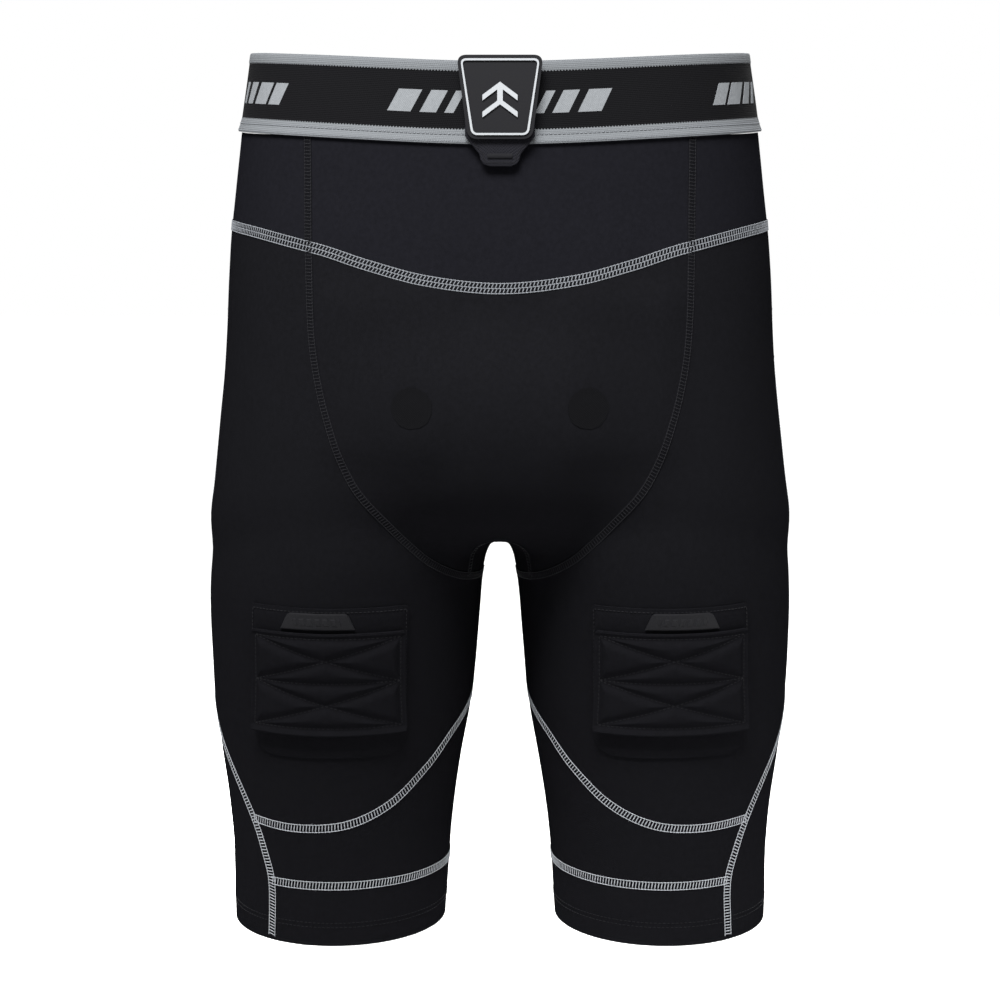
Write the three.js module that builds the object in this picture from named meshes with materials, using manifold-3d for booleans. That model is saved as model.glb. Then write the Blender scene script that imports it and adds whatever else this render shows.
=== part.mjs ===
// Ice-hockey compression shorts with a front cup pocket, a removable guard, a fold-over
// closure tab at the waistband and four hook-and-loop sock tabs.
// Millimetres, +Z up. The front of the shorts faces -Y. Left and right are the wearer's,
// so the wearer's left leg is at +X. The origin is on the floor, midway between the two hems.

import * as THREE from "three";
import { mergeVertices } from "three/addons/utils/BufferGeometryUtils.js";
import Module from "manifold-3d";

const wasm = await Module();
wasm.setup();

// ---------------------------------------------------------------- driving sizes

const waistHeight = 523; // hem to the band's top edge, at the side
const inseam = 230; // hem to the crotch
const waistWidth = 282;
const waistFront = 102; // band's depth in front of the side seams
const waistBack = 98;
const hipWidth = 351;
const bellyFront = 112;
const seatBack = 126;
const thighFront = 95;
const thighBack = 101;
const hemWidth = 130; // one leg opening, side to side
const hemDepth = 131;
const legSpacing = 198; // between the leg openings' centres

const fabric = 1.2; // knitted panel
const seamGap = 0.4; // between two panels under a flat seam
const layerGap = 0.4; // between two layers lying on each other

const bandHeight = 45;
const bandThickness = 2;
const bandProud = 0.8; // how far the band stands out from the panels
const bandFrontDip = 9; // how far the band drops at the front centre

const yokeFrontDrop = 78; // from the band down to the yoke seam, at the front centre
const yokeSideDrop = 54;
const yokeBackRise = 10; // how much higher than at the side it is at the back
const frontSeamHalf = 106.5; // front seams' distance from the centre, at the yoke

const apexHeight = 142; // top of the side gusset
const kneeSeamInner = 143; // upper leg seam at the inner thigh
const kneeSeamSide = 74; // and where it meets the side gusset
const cuffSeamHeight = 37.5;
const hemFold = 14; // turned-up hem
const hemFoldThickness = 1;
const hemFoldGap = 0.6;

const tabTurn = 87; // degrees round the leg from its outer side to a sock tab's middle
const tabDrop = 20; // from the crotch down to the tab
const tabBaseWidth = 98; // along the cloth, round the leg
const tabBaseHeight = 92;
const tabBaseThickness = 1;
const flapWidth = 91;
const flapHeight = 62;
const flapDrop = 14; // from the top of the tab's base to the flap
const flapThickness = 2;
const flapHookMargin = 7; // bare flap around its hook strip
const hookThickness = 0.8;
const labelWidthLow = 43;
const labelWidthHigh = 34;
const labelTurn = 84; // degrees round the leg to the label's middle
const labelHeight = 10;
const labelThickness = 1.2;
const flapSwing = 1.6; // room over the flap, whose top edge turns on its own middle

const cupRise = 34; // guard's lower edge above the crotch
const cupHeight = 127;
const cupLean = 14.5; // degrees: rim and lift-out path lean back this far
const cupRimDepth = 68; // rim's distance in front of the side seams, half way up
const cupHalfWidth = 96;
const cupWall = 3;
const cupClearance = 1.2; // between the pouch panel and the guard
const cupVentRadius = 11.5;
const cupVentHalfSpan = 48.5;
const cupVentRise = 62; // vents above the guard's lower edge
const lobeInner = 30; // the guard's two raised lobes, seen from the front
const lobeOuter = 99;
const lobeRiseLow = 30; // lobes' lower and upper ends above the guard's lower edge
const lobeRiseHigh = 126;
const lobeRise = 2.4;
const lobeEdge = 24; // width of a lobe's slope
const cushionWidth = 8;
const cushionThickness = 5;
const linerAbove = 11; // pocket's back wall over the guard
const linerMargin = 3; // from the U seam in to the pocket's edge
const linerSeam = 1.8; // from the front panels back to the pocket's edge
const pocketRoom = 1.6; // between the guard and the pocket
const linerThickness = 0.9;

const badgeTopWidth = 47;
const badgeBottomWidth = 35;
const badgeAbove = 2.4; // badge over the band's top edge
const badgeBelow = 42.5; // badge below it
const badgeThickness = 2.2;
const badgeCorner = 5.5;
const badgeRimInset = 2;
const badgeRimWidth = 1.1;
const reliefThickness = 0.6;
const strapWidth = 38;
const strapThickness = 1.4;
const strapTongue = 57; // strap's round tip, below the band's top edge
const strapShoulder = 41; // where the strap starts to narrow
const strapTipHalf = 9;
const anchorWidth = 34;
const anchorDrop = 22; // closure's anchor, down inside the band
const anchorThickness = 1;
const closurePatchWidth = 29;
const closurePatchTop = 7; // below the band's top edge
const closurePatchBottom = 38;
const closureHookInset = 1;
const barTackWidth = 13;
const barTackHeight = 3;

const cupColour = 0x3b3d42;
const black = 0x131316;
const softBlack = 0x1a1a1d;
const grey = 0x9ea2a6;

const yokeFrontHeight = waistHeight - bandFrontDip - bandHeight - yokeFrontDrop;
const yokeSideHeight = waistHeight - bandHeight - yokeSideDrop;
const tabBaseHigh = inseam - tabDrop;
const flapHigh = tabBaseHigh - flapDrop;
const cupBottom = inseam + cupRise;
const cupTop = cupBottom + cupHeight;

// ---------------------------------------------------------------- curves and the body shape

const rad = THREE.MathUtils.degToRad;
const lerp = THREE.MathUtils.lerp;
const clamp = THREE.MathUtils.clamp;

// A smooth function through [position, value] pairs.
function through(pairs) {
  const slope = pairs.map((_, i) => {
    const a = pairs[Math.max(i - 1, 0)];
    const b = pairs[Math.min(i + 1, pairs.length - 1)];
    return (b[1] - a[1]) / (b[0] - a[0]);
  });
  return (at) => {
    const t = clamp(at, pairs[0][0], pairs[pairs.length - 1][0]);
    let i = 0;
    while (i < pairs.length - 2 && t > pairs[i + 1][0]) i++;
    const width = pairs[i + 1][0] - pairs[i][0];
    const u = (t - pairs[i][0]) / width;
    const step = u * u * (3 - 2 * u);
    return (
      pairs[i][1] * (1 - step) +
      pairs[i + 1][1] * step +
      width * u * (1 - u) * ((1 - u) * slope[i] - u * slope[i + 1])
    );
  };
}

// 0 at the hem, 1 at the crotch, 2 at the waist.
function level(z) {
  const share = z < inseam ? z / inseam : 1 + (z - inseam) / (waistHeight - inseam);
  return clamp(share, 0, 2);
}

const hemOuter = legSpacing / 2 + hemWidth / 2;
const hemInner = legSpacing / 2 - hemWidth / 2;
const hip = hipWidth / 2;
const waist = waistWidth / 2;

const outerHalf = through([
  [0, hemOuter],
  [0.26, lerp(hemOuter, hip, 0.12)],
  [0.48, lerp(hemOuter, hip, 0.6)],
  [0.62, lerp(hemOuter, hip, 0.9)],
  [0.87, hip],
  [1, lerp(hip, waist, 0.06)],
  [1.14, lerp(hip, waist, 0.23)],
  [1.38, lerp(hip, waist, 0.45)],
  [1.62, lerp(hip, waist, 0.59)],
  [1.84, lerp(hip, waist, 0.8)],
  [2, waist],
]);
const innerHalf = through([
  [0, hemInner],
  [0.26, lerp(hemInner, 0, 0.13)],
  [0.42, lerp(hemInner, 0, 0.28)],
  [0.58, lerp(hemInner, 0, 0.47)],
  [0.74, lerp(hemInner, 0, 0.57)],
  [0.91, lerp(hemInner, 0, 0.67)],
  [1.05, lerp(hemInner, 0, 0.84)],
  [1.2, 3],
  [2, 3],
]);
const legFront = through([
  [0, hemDepth / 2],
  [0.26, lerp(hemDepth / 2, thighFront, 0.13)],
  [0.48, lerp(hemDepth / 2, thighFront, 0.36)],
  [0.65, lerp(hemDepth / 2, thighFront, 0.6)],
  [0.9, thighFront],
  [1.1, thighFront + 4],
  [1.5, thighFront - 5],
  [2, waistFront - 20],
]);
const legBack = through([
  [0, hemDepth / 2],
  [0.26, lerp(hemDepth / 2, thighBack, 0.14)],
  [0.48, lerp(hemDepth / 2, thighBack, 0.36)],
  [0.65, lerp(hemDepth / 2, thighBack, 0.58)],
  [0.92, thighBack],
  [1.15, thighBack + 7],
  [1.5, thighBack - 6],
  [2, waistBack - 20],
]);
const torsoFront = through([
  [0.9, bellyFront - 8],
  [1.1, bellyFront - 2],
  [1.3, bellyFront],
  [1.55, lerp(bellyFront, waistFront, 0.2)],
  [1.8, lerp(bellyFront, waistFront, 0.7)],
  [2, waistFront],
]);
const torsoBack = through([
  [0.9, seatBack - 18],
  [1.12, seatBack - 4],
  [1.28, seatBack],
  [1.45, lerp(seatBack, waistBack, 0.18)],
  [1.62, lerp(seatBack, waistBack, 0.5)],
  [1.82, lerp(seatBack, waistBack, 0.88)],
  [2, waistBack],
]);

function softMin(a, b, reach) {
  const h = Math.max(reach - Math.abs(a - b), 0) / reach;
  return Math.min(a, b) - (h * h * reach) / 4;
}

const torsoPower = 2.35; // a little squarer than an ellipse
const crotchLift = 8; // offsets the soft join of legs and torso
const pouchCentre = { depth: 62, height: 87 }; // height is above the crotch
const pouchSize = { x: 88, y: 62, z: 70 };
const undersideRise = { front: 26, back: 30 }; // how much higher the crotch is 100 mm off its middle
const torsoJoin = 24; // width of the soft join of the torso's wall and underside
const legJoin = 14;
const pouchJoin = 18;

// 1 on the guard's two lobes, 0 in the channel between them and round them.
function lobe(x, z) {
  const step = (distance) => THREE.MathUtils.smoothstep(distance, -lobeEdge / 2, lobeEdge / 2);
  const up = z - cupBottom;
  const across = step(Math.abs(x) - lobeInner) * step(lobeOuter - Math.abs(x));
  return across * step(lobeRiseHigh - up) * step(up - lobeRiseLow);
}

// Below zero inside the body that fills the shorts, zero on the panels' outer face.
function field(x, y, z) {
  const side = Math.abs(x);
  const g = level(z);
  const outer = outerHalf(g);
  const inner = innerHalf(g);
  const radius = (outer - inner) / 2;
  const legDepth = y < 0 ? legFront(g) : legBack(g);
  const legShare = Math.hypot((side - (outer + inner) / 2) / radius, y / legDepth);
  const leg = (legShare - 1) * Math.min(radius, legDepth);

  const depth = y < 0 ? torsoFront(g) : torsoBack(g);
  const across = Math.pow(side / outer, torsoPower) + Math.pow(Math.abs(y) / depth, torsoPower);
  const wall = (Math.pow(across, 1 / torsoPower) - 1) * depth;
  const rise = y < 0 ? undersideRise.front : undersideRise.back;
  const underside = inseam + crotchLift + Math.pow(y / 100, 2) * rise;
  const torso = -softMin(-wall, z - underside, torsoJoin);

  const pz = z - inseam - pouchCentre.height;
  const py = y + pouchCentre.depth;
  const pouchShare = Math.hypot(x / pouchSize.x, py / pouchSize.y, pz / pouchSize.z);
  const pouch = (pouchShare - 1) * pouchSize.y;

  const relief = y < 0 ? lobeRise * lobe(x, z) : 0;

  return softMin(softMin(leg, torso, legJoin), pouch, pouchJoin) - relief;
}

function outward(p) {
  const h = 0.5;
  return new THREE.Vector3(
    field(p.x + h, p.y, p.z) - field(p.x - h, p.y, p.z),
    field(p.x, p.y + h, p.z) - field(p.x, p.y - h, p.z),
    field(p.x, p.y, p.z + h) - field(p.x, p.y, p.z - h),
  ).normalize();
}

// Moves a point that is near the surface onto it.
function onto(p) {
  const h = 0.5;
  const q = p.clone();
  for (let i = 0; i < 12; i++) {
    const slope = new THREE.Vector3(
      field(q.x + h, q.y, q.z) - field(q.x - h, q.y, q.z),
      field(q.x, q.y + h, q.z) - field(q.x, q.y - h, q.z),
      field(q.x, q.y, q.z + h) - field(q.x, q.y, q.z - h),
    ).divideScalar(2 * h);
    q.addScaledVector(slope, -field(q.x, q.y, q.z) / slope.lengthSq());
  }
  return q;
}

// The surface point on the ray from `from` along `way`, at most `reach` away.
function cast(from, way, reach = 260) {
  let near = 0;
  let far = reach;
  for (let i = 0; i < 44; i++) {
    const mid = (near + far) / 2;
    const p = from.clone().addScaledVector(way, mid);
    if (field(p.x, p.y, p.z) < 0) near = mid;
    else far = mid;
  }
  return from.clone().addScaledVector(way, near);
}

const v = (x, y, z) => new THREE.Vector3(x, y, z);

// Round the torso: 0 degrees at the front centre, 90 at the wearer's left, 180 at the back.
function onTorso(angle, z) {
  return cast(v(0, 0, z), v(Math.sin(rad(angle)), -Math.cos(rad(angle)), 0));
}

// Round the left leg: 0 degrees at the outer side, 90 at the front, 180 at the inner side, 270 at the back.
function legAxis(z) {
  return (outerHalf(level(z)) + innerHalf(level(z))) / 2;
}
function onLeg(angle, z) {
  const axis = legAxis(z);
  const way = v(Math.cos(rad(angle)), -Math.sin(rad(angle)), 0);
  const reach = way.x < 0 ? Math.min(260, axis / -way.x) : 260;
  return cast(v(axis, 0, z), way, reach);
}
function legAngle(p, behind) {
  const angle = THREE.MathUtils.radToDeg(Math.atan2(-p.y, p.x - legAxis(p.z)));
  return behind && angle < 0 ? angle + 360 : Math.abs(angle);
}

// The surface at a given x and height, on the front (-1) or the back (+1).
function facing(x, z, face = -1) {
  return cast(v(x, 0, z), v(0, face, 0));
}

// ---------------------------------------------------------------- building closed sheets

// Two grids of points, [row][column], as the faces of one closed sheet. A ring's columns wrap round.
function closedSheet(front, back, ring = false) {
  const rows = front.length;
  const cols = front[0].length;
  const points = [...front.flat(), ...back.flat()];
  const index = [];
  const quad = (a, b, c, d) => index.push(a, b, c, a, c, d);
  const f = (r, c) => r * cols + (c % cols);
  const k = (r, c) => rows * cols + f(r, c);
  const lastCol = ring ? cols : cols - 1;
  for (let c = 0; c < lastCol; c++) {
    for (let r = 0; r < rows - 1; r++) {
      quad(f(r, c), f(r, c + 1), f(r + 1, c + 1), f(r + 1, c));
      quad(k(r, c), k(r + 1, c), k(r + 1, c + 1), k(r, c + 1));
    }
    quad(f(0, c), k(0, c), k(0, c + 1), f(0, c + 1));
    quad(f(rows - 1, c), f(rows - 1, c + 1), k(rows - 1, c + 1), k(rows - 1, c));
  }
  if (!ring)
    for (let r = 0; r < rows - 1; r++) {
      quad(f(r, 0), f(r + 1, 0), k(r + 1, 0), k(r, 0));
      quad(f(r, cols - 1), k(r, cols - 1), k(r + 1, cols - 1), f(r + 1, cols - 1));
    }
  let volume = 0;
  for (let i = 0; i < index.length; i += 3) {
    const [a, b, c] = [points[index[i]], points[index[i + 1]], points[index[i + 2]]];
    volume += a.dot(b.clone().cross(c));
  }
  if (volume < 0) index.reverse();
  const geometry = new THREE.BufferGeometry();
  const flat = points.flatMap((p) => [p.x, p.y, p.z]);
  geometry.setAttribute("position", new THREE.Float32BufferAttribute(flat, 3));
  geometry.setIndex(index);
  return geometry;
}

// Draws a grid's free edges in by half a seam gap.
function drawnIn(grid, ring) {
  const rows = grid.length;
  const cols = grid[0].length;
  return grid.map((row, r) =>
    row.map((p, c) => {
      const q = p.clone();
      const pull = (n) => q.add(n.clone().sub(p).setLength(seamGap / 2));
      if (r === 0) pull(grid[1][c]);
      if (r === rows - 1) pull(grid[rows - 2][c]);
      if (!ring && c === 0) pull(row[1]);
      if (!ring && c === cols - 1) pull(row[cols - 2]);
      return q;
    }),
  );
}

// A sheet of cloth on the body: its inner face is `lift` from the panels' outer face.
// An edge on the floor stays there, so that the hems end flat.
function cloth(grid, lift = -fabric, thickness = fabric, ring = false) {
  const drawn = drawnIn(grid, ring);
  const at = (distance) =>
    grid.map((row, r) =>
      row.map((p, c) => {
        const q = drawn[r][c].clone().addScaledVector(outward(p), distance);
        if (p.z === 0) q.z = 0;
        return q;
      }),
    );
  return closedSheet(at(lift + thickness), at(lift), ring);
}

const mirrored = (grid) => grid.map((row) => row.map((p) => v(-p.x, p.y, p.z)));
const shares = (n) => Array.from({ length: n + 1 }, (_, i) => i / n);

function solidOf(geometry) {
  const bare = geometry.index ? geometry.toNonIndexed() : geometry.clone();
  bare.deleteAttribute("normal");
  bare.deleteAttribute("uv");
  const merged = mergeVertices(bare, 1e-3);
  return new wasm.Manifold(
    new wasm.Mesh({
      numProp: 3,
      vertProperties: merged.attributes.position.array,
      triVerts: new Uint32Array(merged.index.array),
    }),
  );
}

function geometryOf(solid) {
  const mesh = solid.getMesh();
  const geometry = new THREE.BufferGeometry();
  geometry.setAttribute("position", new THREE.BufferAttribute(mesh.vertProperties, 3));
  geometry.setIndex(new THREE.BufferAttribute(mesh.triVerts, 1));
  return geometry;
}

const shorts = new THREE.Group();

function cloths(colour) {
  return new THREE.MeshStandardMaterial({ color: colour, roughness: 0.92, metalness: 0 });
}
function plastic(colour, roughness = 0.55) {
  return new THREE.MeshStandardMaterial({ color: colour, roughness, metalness: 0 });
}

function add(name, geometry, material = cloths(black), parent = shorts) {
  const mesh = new THREE.Mesh(geometry, material);
  mesh.name = name;
  parent.add(mesh);
  return mesh;
}

// ---------------------------------------------------------------- seam lines

function bandTop(angle) {
  const ahead = Math.max(0, Math.cos(rad(angle)));
  return waistHeight - bandFrontDip * Math.pow(ahead, 1.5);
}
const bandBottom = (angle) => bandTop(angle) - bandHeight;

const yokeRise = through([
  [-21, 0.13],
  [0, 0],
  [21, 0.13],
  [36, 0.38],
  [48, 0.64],
  [68, 0.92],
  [90, 1],
  [111, 0.92],
]);
function yokeSeam(angle) {
  const a = Math.abs(((angle + 540) % 360) - 180);
  if (a <= 90) return lerp(yokeFrontHeight, yokeSideHeight, yokeRise(a));
  return yokeSideHeight + yokeBackRise * (1 - yokeRise(180 - a));
}

// The angle round the torso at which a surface point has the front seams' x.
function seamAngle(z, face) {
  const p = facing(frontSeamHalf, z, face);
  return THREE.MathUtils.radToDeg(Math.atan2(p.x, -p.y));
}

// The U seam from the yoke to under the crotch: [x as a share of frontSeamHalf,
// depth as a share of bellyFront, height as a share of the rise from crotch to yoke].
const uSeam = [
  [1, 0.82, 1],
  [0.98, 0.87, 0.7],
  [0.94, 0.89, 0.555],
  [0.866, 0.91, 0.405],
  [0.77, 0.91, 0.28],
  [0.61, 0.88, 0.165],
  [0.49, 0.82, 0.087],
  [0.35, 0.75, 0.015],
  [0.19, 0.57, -0.045],
  [0.115, 0.27, -0.07],
  [0.1, 0, -0.075],
];

const uSteps = 13;
const gussetSteps = 2; // the last steps of the U seam border the gusset

function uSeamPoints(face) {
  const top = yokeSeam(seamAngle((yokeFrontHeight + yokeSideHeight) / 2, face));
  const points = uSeam.map(([x, depth, height], i) => {
    const z = i === 0 ? top : lerp(inseam, top, height);
    const p = v(x * frontSeamHalf, face * depth * bellyFront, z);
    return height > 0.1 ? facing(p.x, p.z, face) : onto(p);
  });
  points[points.length - 1] = onLeg(180, points[points.length - 1].z);
  const line = new THREE.CatmullRomCurve3(points, false, "centripetal");
  return shares(uSteps).map((t, i) => {
    if (i === 0) return points[0];
    if (i === uSteps) return points[points.length - 1];
    return onto(line.getPointAt(t));
  });
}
const frontU = uSeamPoints(-1);
const backU = uSeamPoints(1);
const gussetLevel = frontU[uSteps].z;

// The upper leg seam round the left leg, from the inner side (180 degrees) to the side gusset.
const kneeDrop = kneeSeamInner - kneeSeamSide;
const kneeSeam = through([
  [45, kneeSeamSide],
  [75, kneeSeamSide - 1],
  [97, kneeSeamSide + 0.03 * kneeDrop],
  [118, kneeSeamSide + 0.2 * kneeDrop],
  [136, kneeSeamSide + 0.47 * kneeDrop],
  [152, kneeSeamSide + 0.74 * kneeDrop],
  [180, kneeSeamInner],
]);

// The side gusset's half angle round the leg at each height.
const gussetAngle = through([
  [0, 55],
  [cuffSeamHeight, 56],
  [lerp(cuffSeamHeight, kneeSeamSide, 0.5), 51.5],
  [kneeSeamSide, 45],
  [lerp(kneeSeamSide, apexHeight, 0.33), 33],
  [lerp(kneeSeamSide, apexHeight, 0.66), 16.5],
  [apexHeight, 0],
]);

// ---------------------------------------------------------------- panels

const inseamSteps = 4;
const diagonalSteps = 4;
const sideSteps = uSteps + inseamSteps - diagonalSteps;
const legColumns = 11;
const frontColumns = 20;
const backColumns = 14;

const diagonalHeights = shares(diagonalSteps).map((t) => lerp(apexHeight, kneeSeamSide, t));

// A leg panel of the left leg, front or back, as a patch between its four seams in (angle, height).
function legPanel(behind) {
  const turned = (angle) => (behind ? 360 - angle : angle);
  const u = behind ? backU : frontU;
  const inner = u.map((p) => [legAngle(p, behind), p.z]);
  inner[uSteps][0] = 180;
  for (let i = 1; i <= inseamSteps; i++)
    inner.push([180, lerp(gussetLevel, kneeSeamInner, i / inseamSteps)]);
  const outer = [];
  for (let i = 0; i < sideSteps; i++)
    outer.push([turned(0), lerp(yokeSideHeight, apexHeight, i / sideSteps)]);
  for (const z of diagonalHeights) outer.push([turned(gussetAngle(z)), z]);
  const last = inner.length - 1;

  const topStart = THREE.MathUtils.radToDeg(Math.atan2(u[0].x, -u[0].y));
  const top = shares(legColumns).map((s) => {
    const angle = lerp(topStart, 90, s);
    const p = onTorso(angle, yokeSeam(angle));
    return [legAngle(p, behind), p.z];
  });
  top[0] = inner[0];
  top[legColumns] = outer[0];
  const bottom = shares(legColumns).map((s) => {
    const angle = lerp(180, gussetAngle(kneeSeamSide), s);
    return [turned(angle), kneeSeam(angle)];
  });

  return inner.map((left, r) => {
    const right = outer[r];
    const t = r / last;
    return shares(legColumns).map((s, c) => {
      const blend = [0, 1].map((k) => {
        const across = lerp(left[k], right[k], s);
        const down = lerp(top[c][k], bottom[c][k], t);
        const high = lerp(top[0][k], top[legColumns][k], s);
        const low = lerp(bottom[0][k], bottom[legColumns][k], s);
        const corners = lerp(high, low, t);
        return across + down - corners;
      });
      if (c === 0 && r <= uSteps) return u[r];
      return onLeg(blend[0], blend[1]);
    });
  });
}

// A band round the leg's inner side, from one edge of the side gusset to the other.
function innerBand(high, low, rows) {
  const start = gussetAngle(high(0));
  return shares(rows).map((t) => {
    const end = gussetAngle(lerp(high(0), low, t));
    return shares(2 * legColumns).map((s) => {
      const inward = 1 - Math.abs(2 * s - 1);
      const angle = lerp(end, 180, inward);
      const z = lerp(high(lerp(start, 180, inward)), low, t);
      return onLeg(s < 0.5 ? angle : 360 - angle, z);
    });
  });
}

// The side gusset: a wedge from its apex down to the hem.
function sideGusset() {
  const columns = 10;
  const heights = [
    ...diagonalHeights,
    lerp(kneeSeamSide, cuffSeamHeight, 1 / 3),
    lerp(kneeSeamSide, cuffSeamHeight, 2 / 3),
    cuffSeamHeight,
    cuffSeamHeight / 2,
    0,
  ];
  const rows = heights.map((z) =>
    shares(columns).map((s) => onLeg(lerp(gussetAngle(z), -gussetAngle(z), s), z)),
  );
  // The first row stays a little below the apex, so that it has some width.
  rows[0] = shares(columns).map((s) => {
    const [front, back] = [rows[1][0], rows[1][columns]].map((p) => onLeg(0, apexHeight).lerp(p, 0.12));
    return onto(front.lerp(back, s));
  });
  return rows;
}

// A row of points from a U seam's mirror image to the seam, arched over or under its ends.
function acrossFrom(edge, lift, columns) {
  return shares(columns).map((s) => {
    const x = lerp(-edge.x, edge.x, s);
    const arch = 1 - Math.pow(x / edge.x, 2);
    if (arch < 1e-6) return v(x, edge.y, edge.z);
    return onto(v(x, edge.y * (1 + 0.16 * arch), edge.z + lift * arch));
  });
}
// How far a centre panel's middle lies above its seam ends, from yoke (0) to gusset (1).
const gussetArch = 12;
const centreLift = through([
  [0, -18],
  [0.35, -14],
  [0.6, -8],
  [0.85, 4],
  [1, gussetArch],
]);

// A panel across the centre, between a U seam and its mirror image.
function centrePanel(u, face, columns) {
  const last = uSteps - gussetSteps;
  return shares(last).map((t, r) => {
    if (r > 0) return acrossFrom(u[r], centreLift(t), columns);
    const angle = THREE.MathUtils.radToDeg(Math.atan2(u[0].x, -u[0].y));
    const reach = face < 0 ? angle : angle - 360;
    return shares(columns).map((s) => {
      const at = lerp(-angle, reach, s);
      return onTorso(at, yokeSeam(at));
    });
  });
}

// The saddle between the two centre panels.
function crotchGusset() {
  const low = frontU.slice(uSteps - gussetSteps);
  const stations = [...low, ...backU.slice(uSteps - gussetSteps, uSteps).reverse()];
  return stations.map((edge) => acrossFrom(edge, gussetArch, 8));
}

// A yoke panel between two angles, which depend on the height.
function yokePanel(angles, columns, rows = 3) {
  return shares(rows).map((t) =>
    shares(columns).map((s) => {
      let angle = 0;
      let z = lerp(bandBottom(0), yokeFrontHeight, t);
      for (let i = 0; i < 4; i++) {
        const [from, to] = angles(z);
        angle = lerp(from, to, s);
        z = lerp(bandBottom(angle), yokeSeam(angle), t);
      }
      return onTorso(angle, z);
    }),
  );
}

function yokeSidePanel() {
  const front = yokePanel((z) => [seamAngle(z, -1), 90], legColumns, 2);
  const back = yokePanel((z) => [90, seamAngle(z, 1)], legColumns, 2);
  return front.map((row, r) => [...row, ...back[r].slice(1)]);
}

function waistRing(low, high, rows, columns) {
  return shares(rows).map((t) =>
    shares(columns)
      .slice(0, -1)
      .map((s) => {
        const angle = s * 360;
        return onTorso(angle, lerp(high(angle), low(angle), t));
      }),
  );
}

function bodyPanels() {
  const ring = waistRing(bandBottom, bandTop, 2, 44);
  add("waistband", cloth(ring, bandProud - bandThickness, bandThickness, true));
  add("yoke_front", cloth(yokePanel((z) => [-seamAngle(z, -1), seamAngle(z, -1)], frontColumns)));
  add("yoke_back", cloth(yokePanel((z) => [seamAngle(z, 1), 360 - seamAngle(z, 1)], backColumns)));
  const yokeSide = yokeSidePanel();
  add("yoke_side_left", cloth(yokeSide));
  add("yoke_side_right", cloth(mirrored(yokeSide)));

  add("pouch_panel", cloth(centrePanel(frontU, -1, frontColumns)), cloths(softBlack));
  add("seat_panel", cloth(centrePanel(backU, 1, backColumns)));
  add("crotch_gusset", cloth(crotchGusset()));

  const perLeg = {
    thigh_front: legPanel(false),
    thigh_back: legPanel(true),
    side_gusset: sideGusset(),
    knee_panel: innerBand(kneeSeam, cuffSeamHeight, 3),
    cuff_panel: innerBand(() => cuffSeamHeight, 0, 2),
  };
  for (const [name, grid] of Object.entries(perLeg)) {
    add(name + "_left", cloth(grid));
    add(name + "_right", cloth(mirrored(grid)));
  }
  const fold = shares(1).map((t) =>
    shares(32)
      .slice(0, -1)
      .map((s) => onLeg(s * 360, lerp(hemFold, 0, t))),
  );
  const foldLift = -fabric - hemFoldGap - hemFoldThickness;
  add("hem_fold_left", cloth(fold, foldLift, hemFoldThickness, true));
  add("hem_fold_right", cloth(mirrored(fold), foldLift, hemFoldThickness, true));
}

// ---------------------------------------------------------------- sock tabs

// A patch on the left leg's front (-1) or back (+1), whose widths are measured along the cloth.
function tabPatch(face, turn, [widthHigh, widthLow], high, height, columns, rows) {
  return shares(rows).map((t) => {
    const z = high - t * height;
    const radius = onLeg(turn, z).distanceTo(v(legAxis(z), 0, z));
    const half = THREE.MathUtils.radToDeg(lerp(widthHigh, widthLow, t) / 2 / radius);
    return shares(columns).map((s) => {
      const angle = turn + lerp(half, -half, s);
      return onLeg(face < 0 ? angle : 360 - angle, z);
    });
  });
}

const hookLift = layerGap + tabBaseThickness + layerGap;
const flapLift = hookLift + hookThickness + layerGap;

function sockTab(name, face, flip) {
  const piece = (suffix, grid, lift, thickness, material) =>
    add(name + suffix, cloth(flip ? mirrored(grid) : grid, lift, thickness), material);
  const base = tabPatch(face, tabTurn, [tabBaseWidth, tabBaseWidth], tabBaseHigh, tabBaseHeight, 9, 4);
  piece("_base", base, layerGap, tabBaseThickness, cloths(softBlack));
  const flap = tabPatch(face, tabTurn, [flapWidth, flapWidth], flapHigh, flapHeight, 9, 4);
  piece("_flap", flap, flapLift, flapThickness, cloths(softBlack));
  const hookWidth = flapWidth - 2 * flapHookMargin;
  const hookHeight = flapHeight - 2 * flapHookMargin;
  const hookHigh = flapHigh - flapHookMargin;
  const hook = tabPatch(face, tabTurn, [hookWidth, hookWidth], hookHigh, hookHeight, 8, 3);
  piece("_hook_strip", hook, hookLift, hookThickness, plastic(black, 0.8));
  const labelHigh = flapHigh + flapSwing + labelHeight;
  const label = tabPatch(face, labelTurn, [labelWidthHigh, labelWidthLow], labelHigh, labelHeight, 4, 1);
  piece("_label", label, hookLift, labelThickness, plastic(softBlack, 0.6));
}

// ---------------------------------------------------------------- cup pocket and guard

const leanBack = Math.tan(rad(cupLean));
const rimY = (z) => -cupRimDepth + (z - cupBottom - cupHeight / 2) * leanBack;

// The guard's half width, from its lower edge (0) to its upper edge (1).
const cupShare = through([
  [0, 0.21],
  [0.05, 0.4],
  [0.19, 0.67],
  [0.364, 0.85],
  [0.573, 0.96],
  [0.783, 1],
  [0.909, 0.975],
  [0.972, 0.89],
  [1, 0.75],
]);
const cupWidest = 0.783;

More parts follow.
